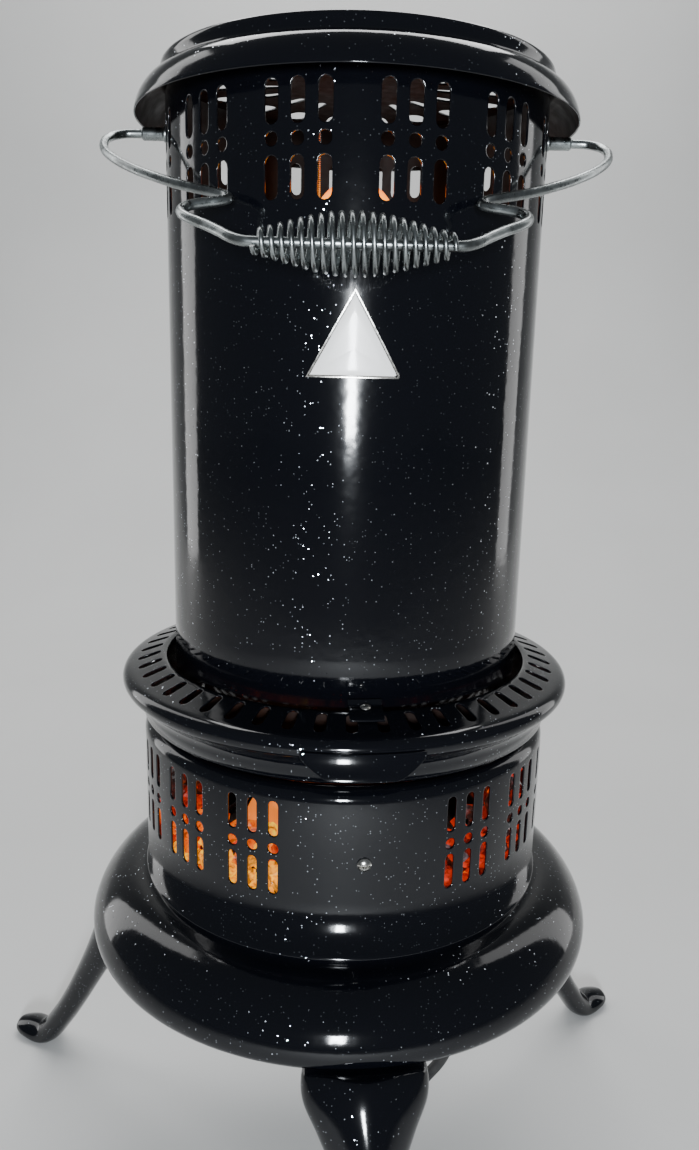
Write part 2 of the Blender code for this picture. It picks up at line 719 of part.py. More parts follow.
def lead_route():
    """Down through the base, leaning behind the front leg, then back along the floor."""
    gx, gy = GROMMET
    lie = FLOOR + 0.0033
    points = [(gx, gy, 0.1622), (gx, gy, 0.1500), (gx, gy, 0.1405), (0.0595, -0.0998, 0.1310),
              (0.0558, -0.0993, 0.1225), (0.0507, -0.0984, 0.1145), (0.0453, -0.0970, 0.1060),
              (0.0395, -0.0945, 0.0945), (0.0345, -0.0905, 0.0800), (0.0308, -0.0858, 0.0630),
              (0.0283, -0.0800, 0.0450), (0.0265, -0.0730, 0.0270), (0.0253, -0.0638, 0.0100),
              (0.0243, -0.0520, -0.0055), (0.0233, -0.0370, -0.0180), (0.0222, -0.0190, -0.0268),
              (0.0207, 0.0010, lie + 0.0010), (0.0180, 0.0260, lie), (0.0135, 0.0600, lie),
              (0.0060, 0.0980, lie), (-0.0050, 0.1370, lie), (-0.0170, 0.1740, lie),
              (-0.0268, 0.2030, lie),
              (COIL_XY[0] - COIL_TURN_R, COIL_XY[1] - 0.0256, lie)]
    return smooth_path(points, 3)


def lead_end_route():
    """From the coil's outer turn to the back of the plug, on the far side from where it came."""
    x = COIL_XY[0] + COIL_TURN_R
    y = COIL_XY[1]
    return smooth_path([(x, y - 0.0270, FLOOR + 0.0098), (x, y - 0.0320, FLOOR + 0.0100),
                        (x, y - 0.0377, FLOOR + 0.0102)], 3)


def plug(rubber, brass):
    """Two-pin plug lying on the floor beside the coil."""
    place = Matrix.Translation((COIL_XY[0] + COIL_TURN_R, COIL_XY[1] - 0.0380, FLOOR + 0.0102))
    place = place @ Matrix.Rotation(math.radians(90), 4, "X")
    outline = [(0.0, 0.0), (0.0060, 0.0), (0.0078, 0.0120), (0.0098, 0.0200), (0.0098, 0.0420),
               (0.0, 0.0420)]
    turned("plug_body", outline, rubber, 14, place)
    for i, side in enumerate((-0.0062, 0.0062)):
        outline = [(0.0, 0.0423), (0.0020, 0.0423), (0.0020, 0.0590), (0.0012, 0.0605),
                   (0.0, 0.0608)]
        turned(f"plug_pin_{i + 1}", outline, brass, 8, place @ Matrix.Translation((0, side, 0)))


# ---------------------------------------------------------------- tilting upper body

def louver_ring(mat):
    outer = [(0.0940, 0.3105), (0.1034, 0.3105), (0.1036, 0.3258), (0.1066, 0.3266),
             (0.1226, 0.3213), (0.1282, 0.3178), (0.1293, 0.3140), (0.1200, 0.3055),
             (0.1176, 0.2950), (0.1105, 0.2916)]
    inner = offset_path(outer, 0.0010)
    azimuths = [BASE_TURN + 360.0 * i / RING_SLOTS for i in range(RING_SLOTS)]
    slot = oblong(RING_SLOT_W, 0.0142)

    def opening(col, row):
        return (slot, 0.5) if row == 3 else None

    return shell("louver_ring", outer, inner, azimuths, opening, mat)


def curved_plate(name, rows, thickness, mat, centre, columns=6):
    """Plate bent round the axis; rows are (outer r, z, half width in metres)."""
    bm = bmesh.new()
    faces = []
    for depth in (0.0, thickness):
        grid = []
        for r, z, half in rows:
            row = []
            for k in range(columns + 1):
                x = half * (2.0 * k / columns - 1.0)
                row.append(bm.verts.new(polar(r - depth, centre + math.degrees(x / r), z)))
            grid.append(row)
        faces.append(grid)
    front, back = faces
    for grid in faces:
        for a, b in zip(grid, grid[1:]):
            for k in range(columns):
                bm.faces.new((a[k], a[k + 1], b[k + 1], b[k]))
    last = len(rows) - 1
    for i in (0, last):
        for k in range(columns):
            bm.faces.new((front[i][k], front[i][k + 1], back[i][k + 1], back[i][k]))
    for k in (0, columns):
        for i in range(last):
            bm.faces.new((front[i][k], front[i + 1][k], back[i + 1][k], back[i][k]))
    return finish(name, bm, mat)


def finger_lip(mat):
    rows = [(0.1308, 0.3150, 0.0305), (0.1316, 0.3112, 0.0285), (0.1330, 0.3078, 0.0245),
            (0.1344, 0.3052, 0.0205), (0.1351, 0.3030, 0.0175)]
    return curved_plate("finger_lip", rows, 0.0011, mat, LIP_AZ)


def drum_clip(mat, steel):
    """Small plate over the collar's edge that stops the drum lifting out, and its screw."""
    rows = [(0.1003, 0.3310, 0.0085), (0.1028, 0.3284, 0.0085), (0.1068, 0.3281, 0.0085),
            (0.1145, 0.3256, 0.0085)]
    bm = bmesh.new()
    grids = []
    for drop in (0.0, 0.0010):
        grid = []
        for r, z, half in rows:
            spread = math.degrees(half / r)
            grid.append([bm.verts.new(polar(r, BASE_TURN + spread * k / 2, z - drop))
                         for k in (-2, -1, 0, 1, 2)])
        grids.append(grid)
    for grid in grids:
        for a, b in zip(grid, grid[1:]):
            for k in range(4):
                bm.faces.new((a[k], a[k + 1], b[k + 1], b[k]))
    top, low = grids
    for i in (0, 3):
        for k in range(4):
            bm.faces.new((top[i][k], top[i][k + 1], low[i][k + 1], low[i][k]))
    for k in (0, 4):
        for i in range(3):
            bm.faces.new((top[i][k], top[i + 1][k], low[i + 1][k], low[i][k]))
    finish("drum_clip", bm, mat)
    outline = [(0.0, 0.3300), (0.0020, 0.3298), (0.0027, 0.3285), (0.0, 0.3285)]
    turned("clip_screw", outline, steel, 10, upright_frame(0.1055, BASE_TURN, 0))


def hinge(mat, steel):
    """Rear hinge: a lower leaf on the drum, an upper leaf on the ring, and the pin."""
    az = 180.0 + BASE_TURN
    frame = upright_frame(0, az, 0)
    across = Matrix.Rotation(math.radians(90), 4, "Y")
    axis = frame @ Matrix.Translation((0, -HINGE_R, HINGE_Z)) @ across

    def knuckle(name, centre, length, material_used):
        place = axis @ Matrix.Translation((0, 0, centre))
        half = length / 2
        ring = [(0.0014, -half), (0.0032, -half), (0.0032, half), (0.0014, half)]
        return turned(name, ring, material_used, 14, place)

    def plate(name, x, width, section, material_used):
        bm = bmesh.new()
        rings = []
        for side in (-0.5, 0.5):
            rings.append([bm.verts.new(frame @ Vector((x + side * width, -r, z)))
                          for r, z in section])
        loft(bm, rings)
        return finish(name, bm, material_used)

    lower = knuckle("hinge_leaf_lower", 0.0, 0.0110, mat)
    section = [(0.1181, 0.2510), (0.1193, 0.2510), (0.1193, 0.2855), (0.1258, 0.2920),
               (0.1249, 0.2938), (0.1181, 0.2874)]
    combine(lower, [plate("leaf_a", 0.0, 0.0096, section, mat)], "UNION")
    upper = knuckle("hinge_leaf_upper", 0.0120, 0.0120, mat)
    other = knuckle("knuckle_b", -0.0120, 0.0120, mat)
    section = [(0.1297, 0.2945), (0.1309, 0.2945), (0.1309, 0.3180), (0.1297, 0.3180)]
    wings = [plate("leaf_b", 0.0120, 0.0110, section, mat),
             plate("leaf_c", -0.0120, 0.0110, section, mat)]
    section = [(0.1297, 0.3050), (0.1309, 0.3050), (0.1309, 0.3180), (0.1297, 0.3180)]
    wings.append(plate("leaf_d", 0.0, 0.0300, section, mat))
    combine(upper, [other] + wings, "UNION")
    outline = [(0.0, -0.0190), (0.0011, -0.0190), (0.0011, 0.0190), (0.0, 0.0190)]
    turned("hinge_pin", outline, steel, 10, axis)


def upper_drum(mat):
    outer = [(DRUM_R, z) for z in DRUM_ROWS]
    inner = [(DRUM_R - DRUM_WALL, z) for z in DRUM_ROWS]
    azimuths = []
    for group in range(12):
        for k in (-1.5, -0.5, 0.5, 1.5):
            azimuths.append(15 + 30 * group + k * DRUM_PITCH)
    slot = pointed_slot(SLOT_W, SLOT_H, 0.0018)
    dot = hexagon(DOT_D)
    pivot = hexagon(0.0056)
    pivot_at = (BAIL_Z - DRUM_ROWS[3]) / (DRUM_ROWS[4] - DRUM_ROWS[3])

    def opening(col, row):
        if col % 4 == 3:
            return (pivot, pivot_at) if row == 3 and col // 4 in (2, 8) else None
        return {1: (slot, 0.50), 2: (dot, 0.50), 3: (slot, 0.49)}.get(row)

    return shell("upper_drum", outer, inner, azimuths, opening, mat)


def cap_brim(mat):
    outer = [(0.0965, 0.6350), (0.1008, 0.6350), (0.1011, 0.6274), (0.1075, 0.6246),
             (0.1130, 0.6172), (0.1147, 0.6106)]
    inner = offset_path(outer, 0.0009)
    azimuths = [360.0 * i / 32 for i in range(32)]
    return shell("cap_brim", outer, inner, azimuths, lambda c, r: None, mat)


def cap_grille(mat):
    """Pierced top plate that lets the warm air out."""
    outer = [(0.0120, 0.6332), (0.0360, 0.6332), (0.0640, 0.6332), (0.0900, 0.6332),
             (0.0975, 0.6332)]
    inner = [(r, z - 0.0012) for r, z in outer]
    azimuths = [18.0 * i for i in range(20)]
    small = oblong(0.0060, 0.0180)
    large = oblong(0.0120, 0.0200)

    def opening(col, row):
        return {1: (small, 0.5), 2: (large, 0.5)}.get(row)

    return shell("cap_grille", outer, inner, azimuths, opening, mat)


def grille_button(mat):
    outline = [(0.0, 0.6352), (0.0070, 0.6350), (0.0135, 0.6343), (0.0135, 0.6335), (0.0, 0.6335)]
    return turned("grille_button", outline, mat, 16)


def badge(white, steel):
    """Blank triangular plate bent to the drum, in a thin metal rim."""
    base_z, apex_z, half = 0.4848, 0.5240, 0.0222
    rim = 0.0013
    height = apex_z - base_z
    rows = []
    steps = 4
    low = base_z + rim
    high = apex_z - rim * 3.2
    for k in range(steps + 1):
        z = low + (high - low) * k / steps
        w = (apex_z - z) / height * half - rim * 1.4
        rows.append((DRUM_R + 0.0014, z, w))
    curved_plate("badge_plate", rows, 0.0010, white, 0.6)
    bm = bmesh.new()
    loops = []
    for r in (DRUM_R + 0.0018, DRUM_R + 0.0004):
        for grow in (1.0, -1.0):
            loops.append(badge_loop(bm, r, base_z, apex_z, half, rim, grow))
    count = len(loops[0])
    order = (loops[0], loops[1], loops[3], loops[2])
    for a, b in zip(order, order[1:] + order[:1]):
        for i in range(count):
            j = (i + 1) % count
            bm.faces.new((a[i], a[j], b[j], b[i]))
    finish("badge_rim", bm, steel)


def badge_loop(bm, r, base_z, apex_z, half, rim, grow):
    """One closed triangular loop; grow 1 is the outer edge, -1 the inner edge."""
    if grow > 0:
        lo, hi, w = base_z, apex_z, half
    else:
        lo = base_z + rim - GAP
        hi = apex_z - rim * 2.0 + GAP
        w = half * (hi - lo) / (apex_z - base_z) + 0.0001
    points = [(w * (2.0 * k / 8 - 1.0), lo) for k in range(9)]
    points += [(w * (1 - k / 6), lo + (hi - lo) * k / 6) for k in range(1, 7)]
    points += [(-w * k / 6, hi - (hi - lo) * k / 6) for k in range(1, 6)]
    return [bm.verts.new(polar(r, 0.6 + math.degrees(x / r), z)) for x, z in points]


def lamp_plate(mat, steel):
    """Plate across the drum that carries the upper lamp and a threaded rod."""
    outline = []
    reach = DRUM_R - DRUM_WALL - GAP
    arm = 0.0090
    tip = math.sqrt(reach * reach - arm * arm)
    disc = 0.0300
    start = math.degrees(math.asin(arm / disc))
    outline.append((tip, -arm))
    outline.append((tip, arm))
    for k in range(9):
        a = math.radians(start + (180 - 2 * start) * k / 8)
        outline.append((disc * math.cos(a), disc * math.sin(a)))
    outline.append((-tip, arm))
    outline.append((-tip, -arm))
    for k in range(9):
        a = math.radians(180 + start + (180 - 2 * start) * k / 8)
        outline.append((disc * math.cos(a), disc * math.sin(a)))
    place = Matrix.Translation((0, 0, UPPER_PLATE_Z))
    ob = extruded("lamp_plate", outline, place, 0.0015, mat)
    rod_at = Matrix.Translation((-0.0205, -0.0165, UPPER_PLATE_Z))
    combine(ob, [pin_tool("rod_hole", 0.0028, 0.010, rod_at, mat)], "DIFFERENCE")
    outline = [(0.0, -0.0070), (0.0025, -0.0070), (0.0025, 0.1080), (0.0, 0.1080)]
    turned("lamp_rod", outline, steel, 12, rod_at)
    for name, z in (("rod_nut_low", -0.0043), ("rod_nut_high", 0.0018)):
        outline = [(0.0032, z), (0.0052, z), (0.0052, z + 0.0040), (0.0032, z + 0.0040)]
        turned(name, outline, steel, 6, rod_at)


# ---------------------------------------------------------------- handle

BAIL_HALF = [
    (0.1180, 0.0000), (0.1230, 0.0015), (0.1272, 0.0060), (0.1290, 0.0130), (0.1285, 0.0210),
    (0.1262, 0.0310), (0.1215, 0.0420), (0.1132, 0.0553), (0.1020, 0.0690), (0.0920, 0.0788),
    (0.0835, 0.0862), (0.0752, 0.0922), (0.0668, 0.0972), (0.0600, 0.1014), (0.0562, 0.1053),
    (0.0557, 0.1093), (0.0594, 0.1128), (0.0650, 0.1153), (0.0705, 0.1190), (0.0730, 0.1247),
    (0.0722, 0.1305), (0.0680, 0.1365), (0.0610, 0.1435), (0.0545, 0.1510), (0.0490, 0.1580),
    (0.0440, 0.1620),
]


def bail_frame():
    """Local X along the pivots, local Y along the bail, hanging forward at rest."""
    a = math.radians(BAIL_REST)
    along = Vector((0.0, -math.cos(a), -math.sin(a)))
    side = Vector((1.0, 0.0, 0.0))
    frame = Matrix((side, along, side.cross(along))).transposed().to_4x4()
    return Matrix.Translation((0, 0, BAIL_Z)) @ frame


def bail(steel):
    frame = bail_frame()
    half = [(0.0930, 0.0), (0.0955, 0.0), (0.0958, 0.0), (0.1060, 0.0)] + BAIL_HALF
    radii = [0.0038, 0.0038, BAIL_WIRE_R, BAIL_WIRE_R] + [BAIL_WIRE_R] * len(BAIL_HALF)
    middle = [(0.0395, 0.1631), (0.0, 0.1631), (-0.0395, 0.1631)]
    path = half + middle + [(-u, v) for u, v in reversed(half)]
    sizes = radii + [BAIL_WIRE_R] * 3 + radii[::-1]
    points = [frame @ Vector((u, v, 0.0)) for u, v in path]
    ob = swept("bail_wire", points, sizes, steel, 6)
    set_origin(ob, (0.0, 0.0, BAIL_Z))
    steps = 6
    total = GRIP_TURNS * steps
    points = []
    for i in range(total + 1):
        t = i / total
        u = GRIP_HALF * (2 * t - 1)
        bulge = math.sin(math.pi * t) ** 1.3
        r = GRIP_END_R + (GRIP_MID_R - GRIP_END_R) * bulge
        a = math.tau * GRIP_TURNS * t
        points.append(frame @ Vector((u, 0.1631 + r * math.cos(a), r * math.sin(a))))
    ob = swept("bail_grip", points, [GRIP_WIRE_R] * len(points), steel, 4, 80.0)
    set_origin(ob, (0.0, 0.0, BAIL_Z))


# ---------------------------------------------------------------- build

def build():
    clear_scene()
    mats = make_materials()
    enamel, black, steel = mats["enamel"], mats["black"], mats["steel"]
    brass, rubber = mats["brass"], mats["rubber"]
    for i, az in enumerate(LEG_AZ):
        leg(f"leg_{i + 1}", az, enamel)
        leg_bolt(f"leg_bolt_{i + 1}", az, steel)
    base_pan(black)
    base_flange(enamel)
    lower_drum(enamel)
    panel_screw(steel)
    fuel_tank(steel)
    filler_cap(brass)
    fuel_gauge(brass, mats["white"])
    burner(steel, brass, mats["wick"])
    glass_tray(black)
    amber_bed(mats["amber"])
    lamps(mats)
    inner_leads(rubber)
    terminal_block(mats["white"])
    lead_parts(rubber, brass)
    louver_ring(enamel)
    finger_lip(enamel)
    drum_clip(enamel, steel)
    hinge(enamel, steel)
    upper_drum(enamel)
    cap_brim(enamel)
    cap_grille(enamel)
    grille_button(enamel)
    badge(mats["white"], steel)
    lamp_plate(steel, steel)
    bail(steel)
    for ob in bpy.data.objects:
        ob.location += SHIFT


build()
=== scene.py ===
import math
import random

import bmesh
import bpy
import numpy as np
from mathutils import Matrix, Vector
from mathutils.geometry import delaunay_2d_cdt


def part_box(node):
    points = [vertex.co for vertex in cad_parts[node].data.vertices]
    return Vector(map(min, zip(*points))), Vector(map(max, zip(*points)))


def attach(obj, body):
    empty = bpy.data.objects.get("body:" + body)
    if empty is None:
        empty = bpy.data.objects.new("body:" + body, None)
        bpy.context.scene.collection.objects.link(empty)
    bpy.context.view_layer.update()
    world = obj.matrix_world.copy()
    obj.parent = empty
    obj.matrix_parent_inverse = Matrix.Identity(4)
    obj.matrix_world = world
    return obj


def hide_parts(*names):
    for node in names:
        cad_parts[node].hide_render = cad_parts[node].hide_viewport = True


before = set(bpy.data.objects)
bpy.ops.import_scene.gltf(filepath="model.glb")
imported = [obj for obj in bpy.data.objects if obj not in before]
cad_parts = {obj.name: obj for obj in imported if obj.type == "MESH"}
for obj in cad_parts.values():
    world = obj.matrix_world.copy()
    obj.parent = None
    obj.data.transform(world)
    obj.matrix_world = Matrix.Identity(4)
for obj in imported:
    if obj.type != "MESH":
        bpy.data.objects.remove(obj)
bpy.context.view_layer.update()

# ---------------------------------------------------------------- places, from the frame

# Metres. Heights are from a datum; the feet stand at FLOOR. Radii are from the drum's axis.
# Azimuths are degrees from the front, growing towards +X.
FLOOR = -0.0350
DRUM_FOOT = 0.3108
DRUM_LO, DRUM_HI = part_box("upper_drum")
AXIS = Vector(((DRUM_LO[0] + DRUM_HI[0]) / 2, (DRUM_LO[1] + DRUM_HI[1]) / 2,
               DRUM_LO[2] - DRUM_FOOT))
LIP_AZ = 4.4
BASE_TURN = 5.8
DRUM_R = 0.0990
LOW_R = 0.1175
WALL = 0.0010
PAN_Z = 0.1600
TANK_TOP = 0.1960
GAP = 0.0003
KNOB_Z = 0.2245
PLATE_Z = 0.5000
LEAD_R = 0.0030
GROMMET = (0.0610, -0.1000)
COIL_R = 0.0420
COIL_XY = (0.0100, 0.2560)
LEG_AZ = tuple(BASE_TURN + 120.0 * k for k in range(3))
BOLT_R = 0.1350
FITTING_R = 0.0680
LOW_LAMP_R = 0.0670
LOW_LAMP_AZ = -35.0
ROD_XY = (-0.0205, -0.0165)
HOLE_MARGIN = 0.0009


def polar(r, az, z):
    a = math.radians(az)
    return AXIS + Vector((r * math.sin(a), -r * math.cos(a), z))


def upright(r, az, z):
    """Frame at a place on the object whose local -Y points outward."""
    return Matrix.Translation(polar(r, az, z)) @ Matrix.Rotation(math.radians(az), 4, "Z")


def outward(r, az, z):
    """Frame whose local Z points outward."""
    return upright(r, az, z) @ Matrix.Rotation(math.radians(90), 4, "X")


# ---------------------------------------------------------------- materials

class Look:
    """A node material with a Principled shader, and short calls for the nodes round it."""

    def __init__(self, name, colour, roughness, metallic=0.0, **values):
        self.mat = bpy.data.materials.new(name)
        self.mat.use_nodes = True
        self.tree = self.mat.node_tree
        self.shader = self.tree.nodes["Principled BSDF"]
        self.set("Base Color", (*colour, 1.0))
        self.set("Roughness", roughness)
        self.set("Metallic", metallic)
        for key, value in values.items():
            self.set(key.replace("_", " "), value)

    def set(self, name, value):
        self.shader.inputs[name].default_value = value

    def node(self, kind, **values):
        node = self.tree.nodes.new(kind)
        for key, value in values.items():
            if key in node.inputs:
                node.inputs[key].default_value = value
            else:
                setattr(node, key, value)
        return node

    def link(self, out, into):
        self.tree.links.new(out, into)

    def place(self):
        return self.node("ShaderNodeTexCoord").outputs["Object"]

    def noise(self, scale, detail=3.0, rough=0.5, distortion=0.0):
        node = self.node("ShaderNodeTexNoise", Scale=scale, Detail=detail, Roughness=rough,
                         Distortion=distortion)
        self.link(self.place(), node.inputs["Vector"])
        return node.outputs["Fac"]

    def cells(self, scale):
        node = self.node("ShaderNodeTexVoronoi", Scale=scale)
        self.link(self.place(), node.inputs["Vector"])
        return node

    def red(self, colour):
        """Red part of a colour, used as a random number for each cell."""
        node = self.node("ShaderNodeSeparateColor")
        self.link(colour, node.inputs[0])
        return node.outputs["Red"]

    def ramp(self, source, stops):
        """Colour ramp; stops are (position, colour or grey)."""
        node = self.node("ShaderNodeValToRGB")
        ends = node.color_ramp.elements
        while len(ends) < len(stops):
            ends.new(0.5)
        for end, (at, colour) in zip(ends, stops):
            end.position = at
            end.color = (colour, colour, colour, 1.0) if isinstance(colour, float) else (*colour, 1.0)
        self.link(source, node.inputs["Fac"])
        return node.outputs["Color"]

    def maths(self, operation, a, b=0.0):
        node = self.node("ShaderNodeMath", operation=operation)
        for socket, value in zip(node.inputs, (a, b)):
            if isinstance(value, float):
                socket.default_value = value
            else:
                self.link(value, socket)
        return node.outputs[0]

    def height(self, low, high):
        """0 at the lower height, 1 at the upper one."""
        node = self.node("ShaderNodeSeparateXYZ")
        self.link(self.place(), node.inputs[0])
        span = self.node("ShaderNodeMapRange")
        span.inputs["From Min"].default_value = low
        span.inputs["From Max"].default_value = high
        self.link(node.outputs["Z"], span.inputs["Value"])
        return span.outputs[0]

    def mix(self, factor, a, b):
        node = self.node("ShaderNodeMix", data_type="RGBA")
        for socket, value in ((node.inputs[0], factor), (node.inputs[6], a), (node.inputs[7], b)):
            if isinstance(value, tuple):
                socket.default_value = (*value, 1.0)
            elif isinstance(value, float):
                socket.default_value = value
            else:
                self.link(value, socket)
        return node.outputs[2]

    def bump(self, source, strength, distance):
        node = self.node("ShaderNodeBump", Strength=strength, Distance=distance)
        self.link(source, node.inputs["Height"])
        return node.outputs[0]

    def colour(self, source):
        self.link(source, self.shader.inputs["Base Color"])

    def rough(self, source):
        self.link(source, self.shader.inputs["Roughness"])

    def normal(self, source):
        self.link(source, self.shader.inputs["Normal"])


def worn_look(name, colour, roughness, metallic=0.0, stain=None, stops=(), gloss=None, grain=None,
              **values):
    """Material with stains, uneven gloss and fine grain.

    stain is (scale, detail, rough) of the noise that the colour stops are spread over.
    gloss is (scale, (position, roughness), (position, roughness)).
    grain is (scale, detail, strength, distance) of the bump.
    """
    look = Look(name, colour, roughness, metallic, **values)
    if stain:
        look.colour(look.ramp(look.noise(*stain), stops))
    if gloss:
        look.rough(look.ramp(look.noise(gloss[0], 3.0), gloss[1:]))
    if grain:
        look.normal(look.bump(look.noise(*grain[:2]), *grain[2:]))
    return look


def enamel_look():
    """Deep gloss black with a blue cast, orange peel and sparse silver flakes."""
    black = (0.0022, 0.0026, 0.0042)
    look = Look("enamel", black, 0.10, IOR=1.42, Coat_Weight=0.05, Coat_Roughness=0.03)
    flakes = look.cells(820.0)
    size = look.maths("LESS_THAN", flakes.outputs["Distance"], 0.24)
    chosen = look.maths("GREATER_THAN", look.red(flakes.outputs["Color"]), 0.88)
    patch = look.maths("GREATER_THAN", look.noise(26.0, 2.0), 0.34)
    flake = look.maths("MULTIPLY", look.maths("MULTIPLY", size, chosen), patch)
    look.colour(look.mix(flake, black, (0.44, 0.47, 0.51)))
    look.link(flake, look.shader.inputs["Metallic"])
    smear = look.ramp(look.noise(9.0, 4.0, 0.6), [(0.35, 0.075), (0.75, 0.135)])
    look.rough(look.mix(flake, smear, (0.16, 0.16, 0.16)))
    peel = look.bump(look.noise(150.0, 1.0), 0.10, 0.0006)
    tilt = look.node("ShaderNodeVectorMath", operation="SUBTRACT")
    look.link(flakes.outputs["Color"], tilt.inputs[0])
    tilt.inputs[1].default_value = (0.5, 0.5, 0.5)
    amount = look.node("ShaderNodeVectorMath", operation="SCALE")
    look.link(tilt.outputs[0], amount.inputs[0])
    look.link(look.maths("MULTIPLY", flake, 0.40), amount.inputs["Scale"])
    total = look.node("ShaderNodeVectorMath", operation="ADD")
    look.link(peel, total.inputs[0])
    look.link(amount.outputs[0], total.inputs[1])
    unit = look.node("ShaderNodeVectorMath", operation="NORMALIZE")
    look.link(total.outputs[0], unit.inputs[0])
    look.normal(unit.outputs[0])
    return look.mat


def lining_look():
    """Inside of the sheet metal: black gone brown and matt with heat."""
    stops = [(0.30, (0.005, 0.0025, 0.002)), (0.60, (0.018, 0.007, 0.004)), (0.80, (0.034, 0.014, 0.007))]
    return worn_look("lining", (0.012, 0.006, 0.004), 0.55, stain=(38.0, 6.0, 0.65), stops=stops,
                     gloss=(120.0, (0.3, 0.42), (0.7, 0.70)), grain=(420.0, 3.0, 0.25, 0.0004)).mat


def satin_look():
    """Satin black paint with a little grit and rubbed, greyer patches."""
    stops = [(0.35, (0.009, 0.009, 0.010)), (0.80, (0.035, 0.032, 0.030))]
    return worn_look("satin_black", (0.012, 0.012, 0.013), 0.42, stain=(30.0, 5.0, 0.6), stops=stops,
                     gloss=(70.0, (0.3, 0.34), (0.7, 0.56)), grain=(700.0, 2.0, 0.18, 0.0003)).mat


def metal_look(name, bright, dull, roughness, grain):
    """Bare metal with soft tarnish patches and a fine drawn grain."""
    return worn_look(name, bright, roughness, 1.0, stain=(grain * 0.30, 5.0, 0.62),
                     stops=[(0.32, dull), (0.62, bright)],
                     gloss=(grain * 1.7, (0.25, roughness - 0.07), (0.75, roughness + 0.14)),
                     grain=(grain * 7.0, 2.0, 0.12, 0.0002)).mat


def rubber_look(name, roughness):
    """Black rubber with a little dust."""
    stops = [(0.45, (0.008, 0.008, 0.009)), (0.85, (0.035, 0.033, 0.031))]
    return worn_look(name, (0.010, 0.010, 0.011), roughness, stain=(60.0, 5.0, 0.7), stops=stops,
                     gloss=(140.0, (0.3, roughness - 0.08), (0.7, roughness + 0.14)),
                     grain=(1500.0, 2.0, 0.12, 0.0002)).mat


def porcelain_look():
    stops = [(0.35, (0.62, 0.57, 0.48)), (0.65, (0.82, 0.80, 0.74))]
    return worn_look("porcelain", (0.78, 0.75, 0.68), 0.28, stain=(70.0, 5.0, 0.6), stops=stops,
                     grain=(300.0, 2.0, 0.08, 0.0003), Coat_Weight=0.5, Coat_Roughness=0.08).mat


def bakelite_look():
    stops = [(0.35, (0.018, 0.008, 0.005)), (0.70, (0.085, 0.034, 0.016))]
    return worn_look("bakelite", (0.030, 0.014, 0.008), 0.24, stain=(55.0, 5.0, 0.5, 1.8), stops=stops,
                     gloss=(90.0, (0.3, 0.18), (0.7, 0.36)), Coat_Weight=0.3, Coat_Roughness=0.12).mat


def tank_look():
    """Tinned steel with a faint crystal pattern and stains."""
    look = worn_look("tinned_steel", (0.42, 0.41, 0.38), 0.38, 1.0, grain=(260.0, 3.0, 0.10, 0.0003))
    base = look.ramp(look.red(look.cells(95.0).outputs["Color"]),
                     [(0.0, (0.34, 0.33, 0.30)), (1.0, (0.50, 0.49, 0.46))])
    stain = look.ramp(look.noise(26.0, 5.0, 0.7), [(0.50, 0.0), (0.72, 1.0)])
    look.colour(look.mix(stain, base, (0.17, 0.10, 0.055)))
    look.rough(look.ramp(stain, [(0.0, 0.34), (1.0, 0.62)]))
    return look.mat


def badge_look():
    """Fired white enamel, slightly uneven, with tiny specks."""
    look = worn_look("badge_enamel", (0.93, 0.92, 0.90), 0.34, grain=(340.0, 2.0, 0.10, 0.0003),
                     Coat_Weight=0.3, Coat_Roughness=0.10)
    specks = look.ramp(look.cells(900.0).outputs["Distance"],
                       [(0.05, (0.74, 0.71, 0.66)), (0.12, (0.94, 0.93, 0.91))])
    mottle = look.ramp(look.noise(120.0, 4.0), [(0.45, 0.0), (0.8, 0.55)])
    look.colour(look.mix(mottle, specks, (0.88, 0.87, 0.84)))
    return look.mat


def wick_look():
    """Woven cotton, charred at the top."""
    look = Look("cotton_wick", (0.70, 0.63, 0.50), 0.95)
    weave = look.node("ShaderNodeTexWave", Scale=420.0, Distortion=1.2, bands_direction="Z")
    look.link(look.place(), weave.inputs["Vector"])
    threads = look.ramp(weave.outputs["Fac"], [(0.1, (0.46, 0.40, 0.30)), (0.8, (0.78, 0.72, 0.60))])
    burnt = look.ramp(look.height(AXIS.z + 0.262, AXIS.z + 0.274), [(0.25, 0.0), (0.9, 1.0)])
    look.colour(look.mix(burnt, threads, (0.012, 0.010, 0.009)))
    look.normal(look.bump(weave.outputs["Fac"], 0.5, 0.0004))
    return look.mat


def bulb_look(name, low, high, strength, bottom, top):
    """Lit lamp glass: hottest round the filament's height, deeper colour away from it."""
    look = Look(name, (0.45, 0.16, 0.04), 0.12, Coat_Weight=0.3)
    glow = look.ramp(look.height(AXIS.z + bottom, AXIS.z + top),
                     [(0.0, low), (0.45, high), (0.75, high), (1.0, low)])
    look.link(glow, look.shader.inputs["Emission Color"])
    look.set("Emission Strength", strength)
    return look.mat


def chip_look(name, colour, glow, strength):
    """Cast glass lump, streaked inside; its emission paints the light of the lamp behind shining through it.
    """
    look = worn_look("glass_" + name, colour, 0.10, grain=(240.0, 2.0, 0.18, 0.0005), Coat_Weight=0.5,
                     Coat_Roughness=0.04, IOR=1.52)
    streak = look.noise(130.0, 4.0, 0.5, 2.2)
    # Painted lamp light: the emission runs in dim, glowing and hot streaks.
    painted_dim_glow = tuple(c * 0.30 for c in glow)
    painted_hot_glow = (1.0, min(glow[1] * 1.9, 1.0), glow[2])
    look.link(look.ramp(streak, [(0.36, painted_dim_glow), (0.50, glow), (0.66, painted_hot_glow)]),
              look.shader.inputs["Emission Color"])
    look.set("Emission Strength", strength)
    look.colour(look.ramp(streak, [(0.35, tuple(c * 0.4 for c in colour)), (0.65, colour)]))
    return look.mat
